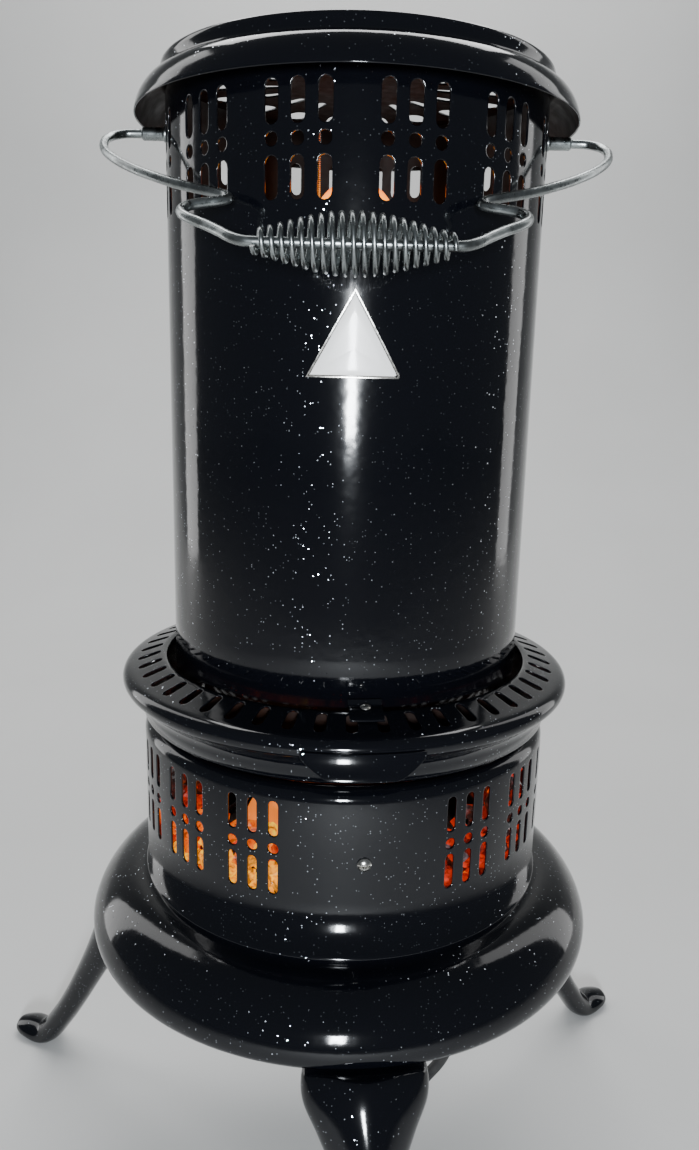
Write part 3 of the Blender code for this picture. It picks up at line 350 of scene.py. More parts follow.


# Glass lumps in steps of painted lamp light, brightest first: colour, emission colour and strength step down
# away from the lamp.
PAINTED_GLOW_CHIPS = (
    ("yellow", (0.42, 0.19, 0.03), (1.0, 0.30, 0.004), 1.35),
    ("amber", (0.34, 0.09, 0.012), (1.0, 0.11, 0.002), 0.90),
    ("red", (0.40, 0.04, 0.02), (0.85, 0.030, 0.006), 0.50),
    ("red_painted_dim", (0.16, 0.02, 0.015), (0.45, 0.018, 0.006), 0.24),
    ("smoke", (0.16, 0.13, 0.14), (0.18, 0.05, 0.03), 0.10),
)
# name, bright colour, tarnished colour, roughness, scale of the grain
METALS = {
    "wire": ("spring_steel", (0.36, 0.39, 0.39), (0.16, 0.17, 0.17), 0.26, 160.0),
    "nickel": ("nickel", (0.62, 0.61, 0.58), (0.38, 0.36, 0.33), 0.22, 240.0),
    "steel": ("dull_steel", (0.34, 0.33, 0.31), (0.16, 0.13, 0.11), 0.40, 120.0),
    "brass": ("aged_brass", (0.62, 0.43, 0.17), (0.26, 0.16, 0.07), 0.30, 150.0),
}


def make_looks():
    looks = {
        "enamel": enamel_look(),
        "lining": lining_look(),
        "satin": satin_look(),
        "tank": tank_look(),
        "badge": badge_look(),
        "wick": wick_look(),
        "rubber": rubber_look("black_rubber", 0.42),
        "plug": rubber_look("moulded_plug", 0.36),
        "bakelite": bakelite_look(),
        "porcelain": porcelain_look(),
        "bulb": bulb_look("lit_bulb", (1.0, 0.10, 0.005), (1.0, 0.32, 0.02), 3.0, 0.532, 0.586),
        "low_bulb": bulb_look("lit_candle_bulb", (1.0, 0.10, 0.01), (1.0, 0.24, 0.025), 1.0, 0.220, 0.266),
        "painted_glow_chips": [chip_look(*row) for row in PAINTED_GLOW_CHIPS],
    }
    looks.update((key, metal_look(*row)) for key, row in METALS.items())
    return looks


# ---------------------------------------------------------------- mesh helpers

def curve_through(points, steps):
    """Catmull-Rom curve through points of any dimension, as numpy rows."""
    pts = [np.array(p, float) for p in points]
    pts = [pts[0] * 2 - pts[1]] + pts + [pts[-1] * 2 - pts[-2]]
    out = []
    for i in range(1, len(pts) - 2):
        p0, p1, p2, p3 = pts[i - 1:i + 3]
        for k in range(steps):
            t = k / steps
            out.append(0.5 * (2 * p1 + (p2 - p0) * t + (2 * p0 - 5 * p1 + 4 * p2 - p3) * t * t
                              + (3 * p1 - p0 - 3 * p2 + p3) * t ** 3))
    out.append(pts[-2])
    return out


def rounded(profile, radius):
    """Corners of an (r, z) outline turned into short arcs; points on the axis stay."""
    out = []
    count = len(profile)
    for i, (r, z) in enumerate(profile):
        here = Vector((r, z))
        back = Vector(profile[i - 1]) - here
        ahead = Vector(profile[(i + 1) % count]) - here
        if r < 1e-6 or back.length < 1e-7 or ahead.length < 1e-7 or back.angle(ahead) > 2.85:
            out.append((r, z))
            continue
        cut = min(radius, 0.42 * back.length, 0.42 * ahead.length)
        a = here + back.normalized() * cut
        b = here + ahead.normalized() * cut
        for t in (0.0, 0.33, 0.67, 1.0):
            p = a * (1 - t) ** 2 + here * 2 * t * (1 - t) + b * t ** 2
            out.append((p.x, p.y))
    return out


def add(name, mesh, mats, body, slot, *nodes):
    """Links a finished mesh as a piece that rides on a body and stands for CAD nodes."""
    ob = bpy.data.objects.new(name, mesh)
    bpy.context.collection.objects.link(ob)
    for mat in mats if isinstance(mats, (list, tuple)) else [mats]:
        mesh.materials.append(mat)
    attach(ob, body)
    if nodes:
        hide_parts(*nodes)
    return ob


def to_mesh(name, bm, sharp=40.0):
    """Mesh with outward faces, smooth but for edges sharper than an angle."""
    bmesh.ops.recalc_face_normals(bm, faces=bm.faces)
    mesh = bpy.data.meshes.new(name)
    bm.to_mesh(mesh)
    bm.free()
    mesh.shade_smooth()
    mesh.set_sharp_from_angle(angle=math.radians(sharp))
    return mesh


def lathe_bm(profile, segments, matrix, closed=True):
    """Outline turned about the matrix's Z; points on the axis become one vertex."""
    bm = bmesh.new()
    rings = []
    for r, z in profile:
        count = 1 if r < 1e-6 else segments
        angles = [math.tau * k / segments for k in range(count)]
        rings.append([bm.verts.new(matrix @ Vector((r * math.sin(a), -r * math.cos(a), z)))
                      for a in angles])
    pairs = list(zip(rings, rings[1:])) + ([(rings[-1], rings[0])] if closed else [])
    for low, high in pairs:
        for k in range(segments):
            n = (k + 1) % segments
            corners = (low[k % len(low)], low[n % len(low)], high[n % len(high)], high[k % len(high)])
            corners = tuple(dict.fromkeys(corners))
            if len(corners) > 2:
                bm.faces.new(corners)
    return bm


def lathe(name, profile, matrix, mat, body, slot, *nodes, segments=72, soft=0.0004):
    """Piece turned from a closed (r, z) outline."""
    bm = lathe_bm(rounded(profile, soft), segments, matrix)
    return add(name, to_mesh(name, bm), mat, body, slot, *nodes)


def circle(bm, matrix, sides, radius, z):
    """Ring of vertices about the matrix's Z; radius is a number or a function of the angle."""
    ring = []
    for k in range(sides):
        a = math.tau * k / sides
        r = radius(a) if callable(radius) else radius
        ring.append(bm.verts.new(matrix @ Vector((r * math.cos(a), r * math.sin(a), z))))
    return ring


def loft_rings(bm, rings, closed=False):
    """Skin over rings of vertices, capped at both ends unless it closes on itself."""
    sides = len(rings[0])
    pairs = list(zip(rings, rings[1:])) + ([(rings[-1], rings[0])] if closed else [])
    for a, b in pairs:
        for k in range(sides):
            n = (k + 1) % sides
            bm.faces.new((a[k], a[n], b[n], b[k]))
    if not closed:
        bm.faces.new(rings[0][::-1])
        bm.faces.new(rings[-1])


def tube(name, points, radius, sides, mat, body, slot, *nodes):
    """Round bar along points."""
    bm = bmesh.new()
    pts = [Vector(p) for p in points]
    rings = []
    normal = None
    for i, p in enumerate(pts):
        along = (pts[min(i + 1, len(pts) - 1)] - pts[max(i - 1, 0)]).normalized()
        if normal is None:
            guess = Vector((0, 0, 1)) if abs(along.z) < 0.9 else Vector((1, 0, 0))
            normal = along.cross(guess)
        normal = (normal - along * normal.dot(along)).normalized()
        frame_here = Matrix((normal, along.cross(normal), along)).transposed().to_4x4()
        rings.append(circle(bm, Matrix.Translation(p) @ frame_here, sides, radius, 0.0))
    loft_rings(bm, rings)
    return add(name, to_mesh(name, bm, 60.0), mat, body, slot, *nodes)


def oblong(width, height, arc=6):
    """Slot outline with round ends about (0, 0), counter-clockwise."""
    w = width / 2
    h = height / 2 - w
    points = []
    for side in (1, -1):
        for k in range(arc + 1):
            a = math.pi * k / arc
            points.append((side * w * math.cos(a), side * (h + w * math.sin(a))))
    return points


def disc(diameter, count=14):
    r = diameter / 2
    return [(r * math.cos(math.tau * k / count), r * math.sin(math.tau * k / count))
            for k in range(count)]


class Sheet:
    """Pierced sheet of revolution: a flat triangulation with holes, wrapped round a profile."""

    def __init__(self, profile, wall, side=1):
        rows = np.array(profile, float)
        self.s = np.concatenate([[0.0], np.cumsum(np.hypot(*np.diff(rows, axis=0).T))])
        self.r, self.z = rows[:, 0], rows[:, 1]
        self.wall, self.side = wall, side
        dr, dz = np.gradient(self.r, self.s), np.gradient(self.z, self.s)
        size = np.hypot(dr, dz)
        self.dr, self.dz = dr / size, dz / size
        self.width = 2 * math.pi * float(self.r.mean())

    def at_height(self, z):
        return float(np.interp(z, self.z, self.s))

    def hole(self, outline, az, s):
        """Outline in metres about (azimuth, distance along the profile)."""
        r = float(np.interp(s, self.s, self.r))
        return [(self.width * az / 360 + x * self.width / (math.tau * r), s + y) for x, y in outline]

    def build(self, name, columns, holes, mats, body, slot, *nodes, halo=0.0005):
        """Pierces the sheet and adds it; halo is the even margin kept round each hole."""
        xs = np.linspace(0.0, self.width, columns + 1)
        grid = np.array([(x, s) for s in self.s for x in xs])
        inside = np.zeros(len(grid), bool)
        for outline in holes:
            o = np.array(outline)
            lo, hi = o.min(axis=0) - HOLE_MARGIN, o.max(axis=0) + HOLE_MARGIN
            inside |= np.all((grid > lo) & (grid < hi), axis=1)
        verts = [Vector(p) for p in grid[~inside]]
        number = np.where(inside, -1, np.cumsum(~inside) - 1).reshape(len(self.s), columns + 1)
        pairs = list(zip(number[:, :-1].flat, number[:, 1:].flat))
        for end in (0, columns):
            pairs += zip(number[:-1, end], number[1:, end])
        edges = [(int(a), int(b)) for a, b in pairs if a >= 0 and b >= 0]
        loops = holes + [self.grown(outline, halo) for outline in holes if halo]
        for loop in loops:
            start = len(verts)
            verts.extend(Vector(p) for p in loop)
            count = len(loop)
            edges.extend((start + k, start + (k + 1) % count) for k in range(count))
        out = delaunay_2d_cdt(verts, edges, [], 0, 1e-7, False)
        flat = np.array([tuple(v) for v in out[0]])
        tris = np.array([f if len(f) == 3 else f[:3] for f in out[2]])
        centre = flat[tris].mean(axis=1)
        gone = np.zeros(len(tris), bool)
        for outline in holes:
            gone |= self.covers(outline, centre)
        return self.wrap(name, flat, tris[~gone], mats, body, slot, nodes)

    @staticmethod
    def grown(outline, step):
        """Outline moved outward, which keeps a hole's rounded edge from shading the sheet."""
        o = np.array(outline)
        along = np.roll(o, -1, axis=0) - np.roll(o, 1, axis=0)
        out = np.stack([along[:, 1], -along[:, 0]], axis=1)
        out /= np.linalg.norm(out, axis=1)[:, None]
        if np.sum(out * (o - o.mean(axis=0))) < 0:
            out = -out
        return [tuple(p) for p in o + out * step]

    @staticmethod
    def covers(outline, points):
        o = np.array(outline)
        near = np.all((points > o.min(axis=0)) & (points < o.max(axis=0)), axis=1)
        result = np.zeros(len(points), bool)
        x, y = points[near, 0], points[near, 1]
        odd = np.zeros(len(x), bool)
        for (x0, y0), (x1, y1) in zip(outline, outline[1:] + outline[:1]):
            if y0 != y1:
                cross = (y0 > y) != (y1 > y)
                odd ^= cross & (x < (x1 - x0) * (y - y0) / (y1 - y0) + x0)
        result[near] = odd
        return result

    def wrap(self, name, flat, tris, mats, body, slot, nodes):
        seam = {}
        first = [i for i, (x, s) in enumerate(flat) if x < 1e-7]
        for i, (x, s) in enumerate(flat):
            if x > self.width - 1e-7:
                seam[i] = min(first, key=lambda k: abs(flat[k][1] - s))
        tris = np.array([[seam.get(v, v) for v in t] for t in tris.tolist()])
        az = flat[:, 0] / self.width * math.tau
        r = np.interp(flat[:, 1], self.s, self.r)
        z = np.interp(flat[:, 1], self.s, self.z)
        dr = np.interp(flat[:, 1], self.s, self.dr)
        dz = np.interp(flat[:, 1], self.s, self.dz)
        radial = np.stack([np.sin(az), -np.cos(az), np.zeros(len(az))], axis=1)
        around = np.stack([np.cos(az), np.sin(az), np.zeros(len(az))], axis=1)
        up = np.array([0.0, 0.0, 1.0])
        normal = self.side * (radial * dz[:, None] - up * dr[:, None])
        along = radial * dr[:, None] + up * dz[:, None]
        place = radial * r[:, None] + up * z[:, None] + np.array(AXIS)
        used = {(a, b) for t in tris.tolist() for a, b in zip(t, t[1:] + t[:1])}
        rim = sorted((a, b) for a, b in used if (b, a) not in used)
        # Rim points lean towards the opening, which rounds the edge off to the eye.
        lean = np.zeros_like(place)
        for a, b in rim:
            dx, ds = flat[b] - flat[a]
            if abs(dx) > self.width / 2:
                dx -= math.copysign(self.width, dx)
            size = math.hypot(dx, ds)
            if size > 0:
                for v in (a, b):
                    lean[v] += around[v] * (ds / size) - along[v] * (dx / size)
        size = np.linalg.norm(lean, axis=1)
        hit = size > 1e-9
        lean[hit] /= size[hit, None]
        n = len(flat)
        verts = np.concatenate([place, place - normal * self.wall])
        normals = np.concatenate([normal + lean * 0.9, -normal + lean * 0.9])
        normals /= np.linalg.norm(normals, axis=1)[:, None]
        turn = self.side > 0
        faces = [tuple(t) if turn else tuple(t[::-1]) for t in tris.tolist()]
        faces += [tuple(v + n for v in (t[::-1] if turn else t)) for t in tris.tolist()]
        walls = [(b, a, a + n, b + n) if turn else (a, b, b + n, a + n) for a, b in rim]
        live = sorted({v for f in faces + walls for v in f})
        order = {v: i for i, v in enumerate(live)}
        mesh = bpy.data.meshes.new(name)
        mesh.from_pydata([tuple(verts[v]) for v in live], [],
                         [tuple(order[v] for v in f) for f in faces + walls])
        mesh.shade_smooth()
        for i, face in enumerate(mesh.polygons):
            face.material_index = 1 if len(tris) <= i < 2 * len(tris) else 0
        mesh.normals_split_custom_set([tuple(normals[live[loop.vertex_index]])
                                       for loop in mesh.loops])
        return add(name, mesh, mats, body, slot, *nodes)


# ---------------------------------------------------------------- camera and cord

def camera():
    """Camera half a metre from the drum's axis, level with the badge and looking slightly down."""
    back, height = -0.5295, 0.4946
    pitch, roll, yaw = (math.radians(v) for v in (13.2585, 1.3468, 0.177))
    ahead = Vector((math.sin(yaw) * math.cos(pitch), math.cos(yaw) * math.cos(pitch), -math.sin(pitch)))
    right = Vector((math.cos(yaw), -math.sin(yaw), 0.0))
    up = right.cross(ahead)
    right2 = right * math.cos(roll) + up * math.sin(roll)
    up2 = up * math.cos(roll) - right * math.sin(roll)
    data = bpy.data.cameras.new("camera")
    data.lens = 29.08
    data.sensor_width = 36.0
    data.clip_start = 0.02
    ob = bpy.data.objects.new("camera", data)
    turn = Matrix((right2, up2, -ahead)).transposed().to_4x4()
    ob.matrix_world = Matrix.Translation(AXIS + Vector((0.0, back, height))) @ turn
    bpy.context.collection.objects.link(ob)
    bpy.context.scene.camera = ob


def lead_points():
    """Down from the base, back along the floor, round in a coil and out to the plug."""
    gx, gy = GROMMET
    cx, cy = COIL_XY
    lie = FLOOR + 0.0033
    points = [(gx, gy, 0.1622), (gx, gy, 0.1500), (gx, gy, 0.1405), (0.0595, -0.0998, 0.1310),
              (0.0558, -0.0993, 0.1225), (0.0507, -0.0984, 0.1145), (0.0453, -0.0970, 0.1060),
              (0.0395, -0.0945, 0.0945), (0.0345, -0.0905, 0.0800), (0.0308, -0.0858, 0.0630),
              (0.0283, -0.0800, 0.0450), (0.0265, -0.0730, 0.0270), (0.0253, -0.0638, 0.0100),
              (0.0243, -0.0520, -0.0055), (0.0233, -0.0370, -0.0180), (0.0222, -0.0190, -0.0268),
              (0.0207, 0.0010, lie + 0.0010), (0.0180, 0.0260, lie), (0.0135, 0.0600, lie),
              (0.0060, 0.0980, lie), (-0.0050, 0.1370, lie), (-0.0170, 0.1740, lie),
              (-0.0268, 0.2030, lie), (cx - COIL_R, cy - 0.0256, lie),
              (cx - COIL_R, cy - 0.0090, lie)]
    path = [Vector(p) for p in curve_through(points, 4)]
    # The first turns lie on the floor; the rest climb and lie on top of them.
    turns, flat_turns, risen = 5.5, 2.6, 2.9
    per_turn = 26
    pitch = 2 * LEAD_R + 0.0001
    inner = COIL_R - pitch * flat_turns
    for k in range(1, int(turns * per_turn) + 1):
        t = k / per_turn
        rise = min(max((t - flat_turns) / 0.3, 0.0), 1.0)
        rise = rise * rise * (3 - 2 * rise)
        r = COIL_R - pitch * t if t < flat_turns else inner + pitch * max(t - risen, 0.0)
        a = math.tau * t
        path.append(Vector((cx - r * math.cos(a), cy + r * math.sin(a), lie + 0.0064 * rise)))
    path += [Vector((cx + COIL_R, cy - y, FLOOR + z)) for y, z in
             ((0.0100, 0.0098), (0.0200, 0.0099), (0.0300, 0.0101), (0.0377, 0.0102))]
    return [AXIS + p for p in path]


def lead(looks):
    """The cable as one cord, with its sleeve and plug."""
    points = lead_points()
    curve = bpy.data.curves.new("mains_lead", "CURVE")
    curve.dimensions = "3D"
    curve.bevel_depth = LEAD_R
    curve.bevel_resolution = 4
    curve.use_fill_caps = True
    spline = curve.splines.new("POLY")
    spline.points.add(len(points) - 1)
    for point, co in zip(spline.points, points):
        point.co = (*co, 1.0)
    spline.use_smooth = True
    ob = bpy.data.objects.new("mains_lead", curve)
    bpy.context.collection.objects.link(ob)
    curve.materials.append(looks["rubber"])
    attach(ob, "base")
    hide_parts("lead", "lead_end", "lead_coil")
    pieces = [relief(looks), *plug(looks)]


def relief(looks):
    """Tapered ribbed sleeve through the pan, 24 mm long."""
    bottom = PAN_Z - 0.0200
    top = PAN_Z + 0.0014 + GAP
    outer = [(0.0034, bottom), (0.0045, bottom)]
    for k in range(4):
        z = bottom + 0.0018 + k * 0.0038
        r = 0.0047 + k * 0.00058
        outer += [(r, z), (r - 0.0007, z + 0.0004), (r - 0.0006, z + 0.0014), (r + 0.0002, z + 0.0018)]
    outer += [(0.0085, PAN_Z - 0.0030), (0.0085, PAN_Z - GAP), (0.0057, PAN_Z - GAP), (0.0057, top),
              (0.0080, top), (0.0078, top + 0.0018), (0.0034, top + 0.0018)]
    matrix = Matrix.Translation(AXIS + Vector((*GROMMET, 0.0)))
    return lathe("relief_sleeve", outer, matrix, looks["plug"], "base", "rubber", "strain_relief",
                 segments=40, soft=0.0002)


def plug(looks):
    """Two-pin plug with a waisted grip and finger ridges."""
    place = Matrix.Translation(AXIS + Vector((COIL_XY[0] + COIL_R, COIL_XY[1] - 0.0380, FLOOR + 0.0102)))
    place = place @ Matrix.Rotation(math.radians(90), 4, "X")
    outline = [(0.0, 0.0), (0.0044, 0.0), (0.0056, 0.0012)]
    for k in range(5):
        z = 0.0030 + 0.0030 * k
        r = 0.0062 + 0.0003 * k
        outline += [(r, z), (r + 0.0006, z + 0.0007), (r + 0.0006, z + 0.0016), (r, z + 0.0023)]
    outline += [(0.0084, 0.0200), (0.0097, 0.0230), (0.0098, 0.0300), (0.0098, 0.0412),
                (0.0092, 0.0419), (0.0, 0.0420)]
    body = lathe("plug_grip", outline, place, looks["plug"], "base", "rubber", "plug_body",
                 segments=56, soft=0.0003)
    made = [body]
    for i, side in enumerate((-0.0062, 0.0062)):
        pin = [(0.0, 0.0423), (0.0020, 0.0423), (0.0020, 0.0585), (0.0015, 0.0600), (0.0008, 0.0607),
               (0.0, 0.0608)]
        made.append(lathe(f"plug_blade_{i + 1}", pin, place @ Matrix.Translation((0, side, 0)),
                          looks["brass"], "base", "brass", f"plug_pin_{i + 1}", segments=24,
                          soft=0.0002))
    return made


# ---------------------------------------------------------------- base

LEG_SECTIONS = [
    (0.1370, 0.1597, 0.0290, 0.0120), (0.1430, 0.1520, 0.0315, 0.0150),
    (0.1490, 0.1430, 0.0305, 0.0160), (0.1560, 0.1310, 0.0240, 0.0160),
    (0.1640, 0.1170, 0.0175, 0.0150), (0.1730, 0.1000, 0.0140, 0.0135),
    (0.1830, 0.0800, 0.0118, 0.0122), (0.1940, 0.0580, 0.0102, 0.0108),
    (0.2060, 0.0360, 0.0095, 0.0095), (0.2190, 0.0130, 0.0098, 0.0086),
    (0.2330, -0.0090, 0.0108, 0.0082), (0.2490, -0.0286, 0.0120, 0.0082),
    (0.2650, -0.0298, 0.0118, 0.0070), (0.2740, -0.0301, 0.0085, 0.0050),
    (0.2775, -0.0303, 0.0040, 0.0028),
]


def leg(index, looks):
    """Cabriole leg with a soft ridge down its front."""
    az = LEG_AZ[index]
    rows = curve_through(LEG_SECTIONS, 6)
    bm = bmesh.new()
    rings = []
    sides = 36
    for i, (r, z, half_w, half_d) in enumerate(rows):
        r0, z0 = rows[max(i - 1, 0)][:2]
        r1, z1 = rows[min(i + 1, len(rows) - 1)][:2]
        along = Vector((r1 - r0, z1 - z0)).normalized()
        normal = Vector((-along.y, along.x)).lerp(Vector((1.0, 0.0)), max(1.0 - i / 6, 0.0))
        ring = []
        for k in range(sides):
            a = math.tau * k / sides
            ridge = 1.0 + 0.10 * max(math.cos(a), 0.0) ** 8
            depth = half_d * math.cos(a) * ridge
            zz = min(max(z + normal.y * depth, FLOOR), PAN_Z - GAP)
            ring.append(bm.verts.new(upright(0, az, 0) @ Vector((half_w * math.sin(a),
                                                                 -(r + normal.x * depth), zz))))
        rings.append(ring)
    loft_rings(bm, rings)
    add(f"cabriole_leg_{index + 1}", to_mesh("leg", bm, 60.0), looks["enamel"], "base", "enamel",
        f"leg_{index + 1}")


def base_shell(looks):
    """Spreading rim: a collar inside the lower drum, a ledge under it, then the bell."""
    points = [(0.1215, 0.1950), (0.1262, 0.1942), (0.1310, 0.1925), (0.1358, 0.1899),
              (0.1400, 0.1864), (0.1438, 0.1822), (0.1470, 0.1776), (0.1490, 0.1735)]
    bell = [tuple(p) for p in curve_through(points, 4)]
    bead = [(0.1497, 0.1716), (0.1504, 0.1694), (0.1508, 0.1670), (0.1508, 0.1645),
            (0.1504, 0.1622), (0.1497, 0.1606)]
    profile = [(0.1070, 0.2055), (0.1138, 0.2055), (0.1144, 0.2049), (0.1144, 0.1959), (0.1150, 0.1953)]
    sheet = Sheet(profile + bell + bead, 0.0012, side=-1)
    sheet.build("base_bell", 144, [], [looks["enamel"], looks["satin"]], "base", "enamel", "base_flange")


def vents(sheet, groups, pitch, column):
    """Groups of three columns of openings; column lists (outline, height)."""
    return [sheet.hole(shape, (centre + pitch * k) % 360.0, sheet.at_height(z))
            for centre in groups for k in (-1, 0, 1) for shape, z in column]


def lower_shell(looks):
    """Lower drum with a rolled bead at its foot and a round shoulder."""
    bead = [(LOW_R + 0.0016 * math.sin(math.pi * k / 8), 0.1961 + 0.0044 * k / 8) for k in range(9)]
    shoulder = [(LOW_R - 0.0075 * (1 - math.cos(a)), 0.2829 + 0.0074 * math.sin(a))
                for a in (math.radians(90 * k / 9) for k in range(10))]
    profile = [(LOW_R, 0.1957)] + bead + [(LOW_R, 0.2300), (LOW_R, 0.2550)] + shoulder
    sheet = Sheet(profile, WALL)
    slot = oblong(0.0053, 0.0192)
    groups = [BASE_TURN + centre + turn for centre in (60, 180, 300) for turn in (-32, -10, 10, 32)]
    holes = vents(sheet, groups, 5.6, ((slot, 0.2406), (disc(0.0060), 0.2560), (slot, 0.2722)))
    sheet.build("lower_shell", 144, holes, [looks["enamel"], looks["lining"]], "base", "enamel",
                "lower_drum")


def screw(name, matrix, radius, height, looks, body, *nodes):
    """Domed head with a cut slot."""
    sides = 48
    steps = 6
    bm = bmesh.new()
    deepest = height * 0.45
    middle = bm.verts.new(matrix @ Vector((0, 0, height - deepest)))
    rings = []
    for step in range(1, steps + 1):
        t = step / steps
        ring = []
        for k in range(sides):
            x, y = (radius * t * f(math.tau * k / sides) for f in (math.cos, math.sin))
            cut = deepest if abs(y) < radius * 0.16 and t < 1 else 0.0
            ring.append(bm.verts.new(matrix @ Vector((x, y, height * math.sqrt(1 - 0.96 * t * t) - cut))))
        rings.append(ring)
    rings.append(circle(bm, matrix, sides, radius, 0.0))
    for k in range(sides):
        n = (k + 1) % sides
        bm.faces.new((middle, rings[0][k], rings[0][n]))
        for low, high in zip(rings, rings[1:]):
            bm.faces.new((low[k], high[k], high[n], low[n]))
    bm.faces.new(rings[-1][::-1])
    add(name, to_mesh(name, bm, 30.0), looks["nickel"], body, "steel", *nodes)


def turned(looks, matrix, rows, segments=72):
    """Turned pieces on one axis; rows are (piece, look, body, slot, CAD node or None, outline)."""
    for name, look, body, slot, node, outline in rows:
        nodes = [node] if node else []
        lathe(name, outline, matrix, looks[look], body, slot, *nodes, segments=segments)


def burner(looks):
    """Burner cup with a pierced gallery, wick tubes, wick and spreader."""
    brass = looks["brass"]
    base = TANK_TOP + GAP
    profile = [(0.0460, base), (0.0460, 0.1985), (0.0450, 0.2000), (0.0440, 0.2012), (0.0440, 0.2300),
               (0.0440, 0.2595), (0.0448, 0.2610), (0.0460, 0.2622), (0.0462, 0.2630)]
    sheet = Sheet(profile, 0.0011)
    holes = []
    for i in range(36):
        for k, z in enumerate((0.2070, 0.2130)):
            holes.append(sheet.hole(disc(0.0034, 10), 10.0 * i + 5.0 * k + 2.5, sheet.at_height(z)))
    for i in range(18):
        holes.append(sheet.hole(oblong(0.0030, 0.0110, 4), 20.0 * i + 5.0, sheet.at_height(0.2480)))
    holes.append(sheet.hole(disc(0.0050, 12), BASE_TURN + 6.0, sheet.at_height(KNOB_Z)))
    sheet.build("burner_gallery", 96, holes, [brass, brass], "base", "brass", "burner_body", halo=0.0)
    turned(looks, Matrix.Translation(AXIS), (
        ("burner_floor", "brass", "base", "brass", None,
         [(0.0250, base + 0.0002), (0.0446, base + 0.0002), (0.0446, 0.1995), (0.0250, 0.2000)]),
        ("centre_draft_tube", "steel", "base", "steel", "draft_tube",
         [(0.0175, 0.1620), (0.0187, 0.1620), (0.0187, 0.2740), (0.0175, 0.2740)]),
        ("outer_wick_tube", "steel", "base", "steel", "wick_tube",
         [(0.0236, base), (0.0246, base), (0.0246, 0.2715), (0.0250, 0.2720), (0.0236, 0.2720)]),
        ("cotton_wick", "wick", "wick_lift", "wick", "wick",
         [(0.0192, 0.2173), (0.0230, 0.2173), (0.0231, 0.2740), (0.0211, 0.2747), (0.0191, 0.2740)]),
        ("spreader_cap", "steel", "base", "steel", "flame_spreader",
         [(0.0, 0.2620), (0.0168, 0.2620), (0.0170, 0.2965), (0.0180, 0.2985), (0.0246, 0.2990),
          (0.0252, 0.2998), (0.0246, 0.3006), (0.0180, 0.3020), (0.0120, 0.3040), (0.0, 0.3045)]),
    ))
    shaft = outward(0, BASE_TURN, KNOB_Z)
    wheel = [(0.0, 0.0643), (0.0023, 0.0643), (0.0023, 0.0560), (0.0075, 0.0560), (0.0100, 0.0570),
             (0.0108, 0.0585), (0.0108, 0.0645), (0.0096, 0.0664), (0.0060, 0.0660), (0.0040, 0.0668),
             (0.0, 0.0668)]
    knurled("wick_wheel", wheel, shaft, brass, 0.0090, "wick_gear", "brass", "wick_knob")
    spindle = [(0.0, 0.0252), (0.0046, 0.0252), (0.0046, 0.0275), (0.0020, 0.0278), (0.0020, 0.0640),
               (0.0, 0.0640)]
    lathe("wick_spindle", spindle, shaft, brass, "wick_gear", "brass", "wick_shaft", segments=36)


def knurled(name, profile, matrix, mat, from_r, body, slot, *nodes):
    """Turned piece whose widest band carries fine ribs."""
    bm = lathe_bm(rounded(profile, 0.0003), 96, matrix)
    back = matrix.inverted()
    for v in bm.verts:
        local = back @ v.co
        r = math.hypot(local.x, local.y)
        if r > from_r:
            a = math.atan2(local.x, -local.y)
            cut = 1.0 - 0.028 * (0.5 + 0.5 * math.cos(a * 24))
            v.co = matrix @ Vector((local.x * cut, local.y * cut, local.z))
    return add(name, to_mesh(name, bm, 35.0), mat, body, slot, *nodes)


def tank(looks):
    """Tank with its filler and level gauge."""
    top = TANK_TOP - 0.0002
    base = TANK_TOP + GAP
    shell = [(0.0190, 0.1640), (0.1040, 0.1640), (0.1070, 0.1658), (0.1080, 0.1685), (0.1080, 0.1770),
             (0.1068, 0.1776), (0.1080, 0.1782), (0.1080, 0.1890), (0.1070, 0.1925), (0.1045, 0.1950),
             (0.1020, top), (0.0190, top)]
    lathe("paraffin_tank", shell, Matrix.Translation(AXIS), looks["tank"], "base", "steel", "fuel_tank",
          segments=120)
    filler = upright(FITTING_R, 150, 0)
    neck = [(0.0108, 0.1950), (0.0125, 0.1950), (0.0125, 0.2064), (0.0108, 0.2064)]
    lathe("filler_neck", neck, filler, looks["tank"], "base", "steel", segments=48)
    cap = [(0.0, 0.2150), (0.0060, 0.2152), (0.0090, 0.2143), (0.0140, 0.2149), (0.0156, 0.2142),
           (0.0160, 0.2130), (0.0160, 0.1992), (0.0156, 0.1986), (0.0130, 0.1986), (0.0130, 0.2070),
           (0.0, 0.2070)]
    knurled("filler_screw_cap", cap, filler, looks["brass"], 0.0150, "filler", "brass", "filler_cap")
    turned(looks, upright(FITTING_R, 210, 0), (
        ("gauge_ring", "brass", "base", "brass", "gauge_body",
         [(0.0, base), (0.0130, base), (0.0130, 0.2036), (0.0124, 0.2048), (0.0112, 0.2052),
          (0.0101, 0.2048), (0.0100, 0.2010), (0.0, 0.2010)]),
        ("gauge_window", "porcelain", "base", "white", "gauge_glass",
         [(0.0, 0.2013), (0.0097, 0.2013), (0.0097, 0.2050), (0.0080, 0.2066), (0.0045, 0.2077),
          (0.0, 0.2080)]),
    ), 60)


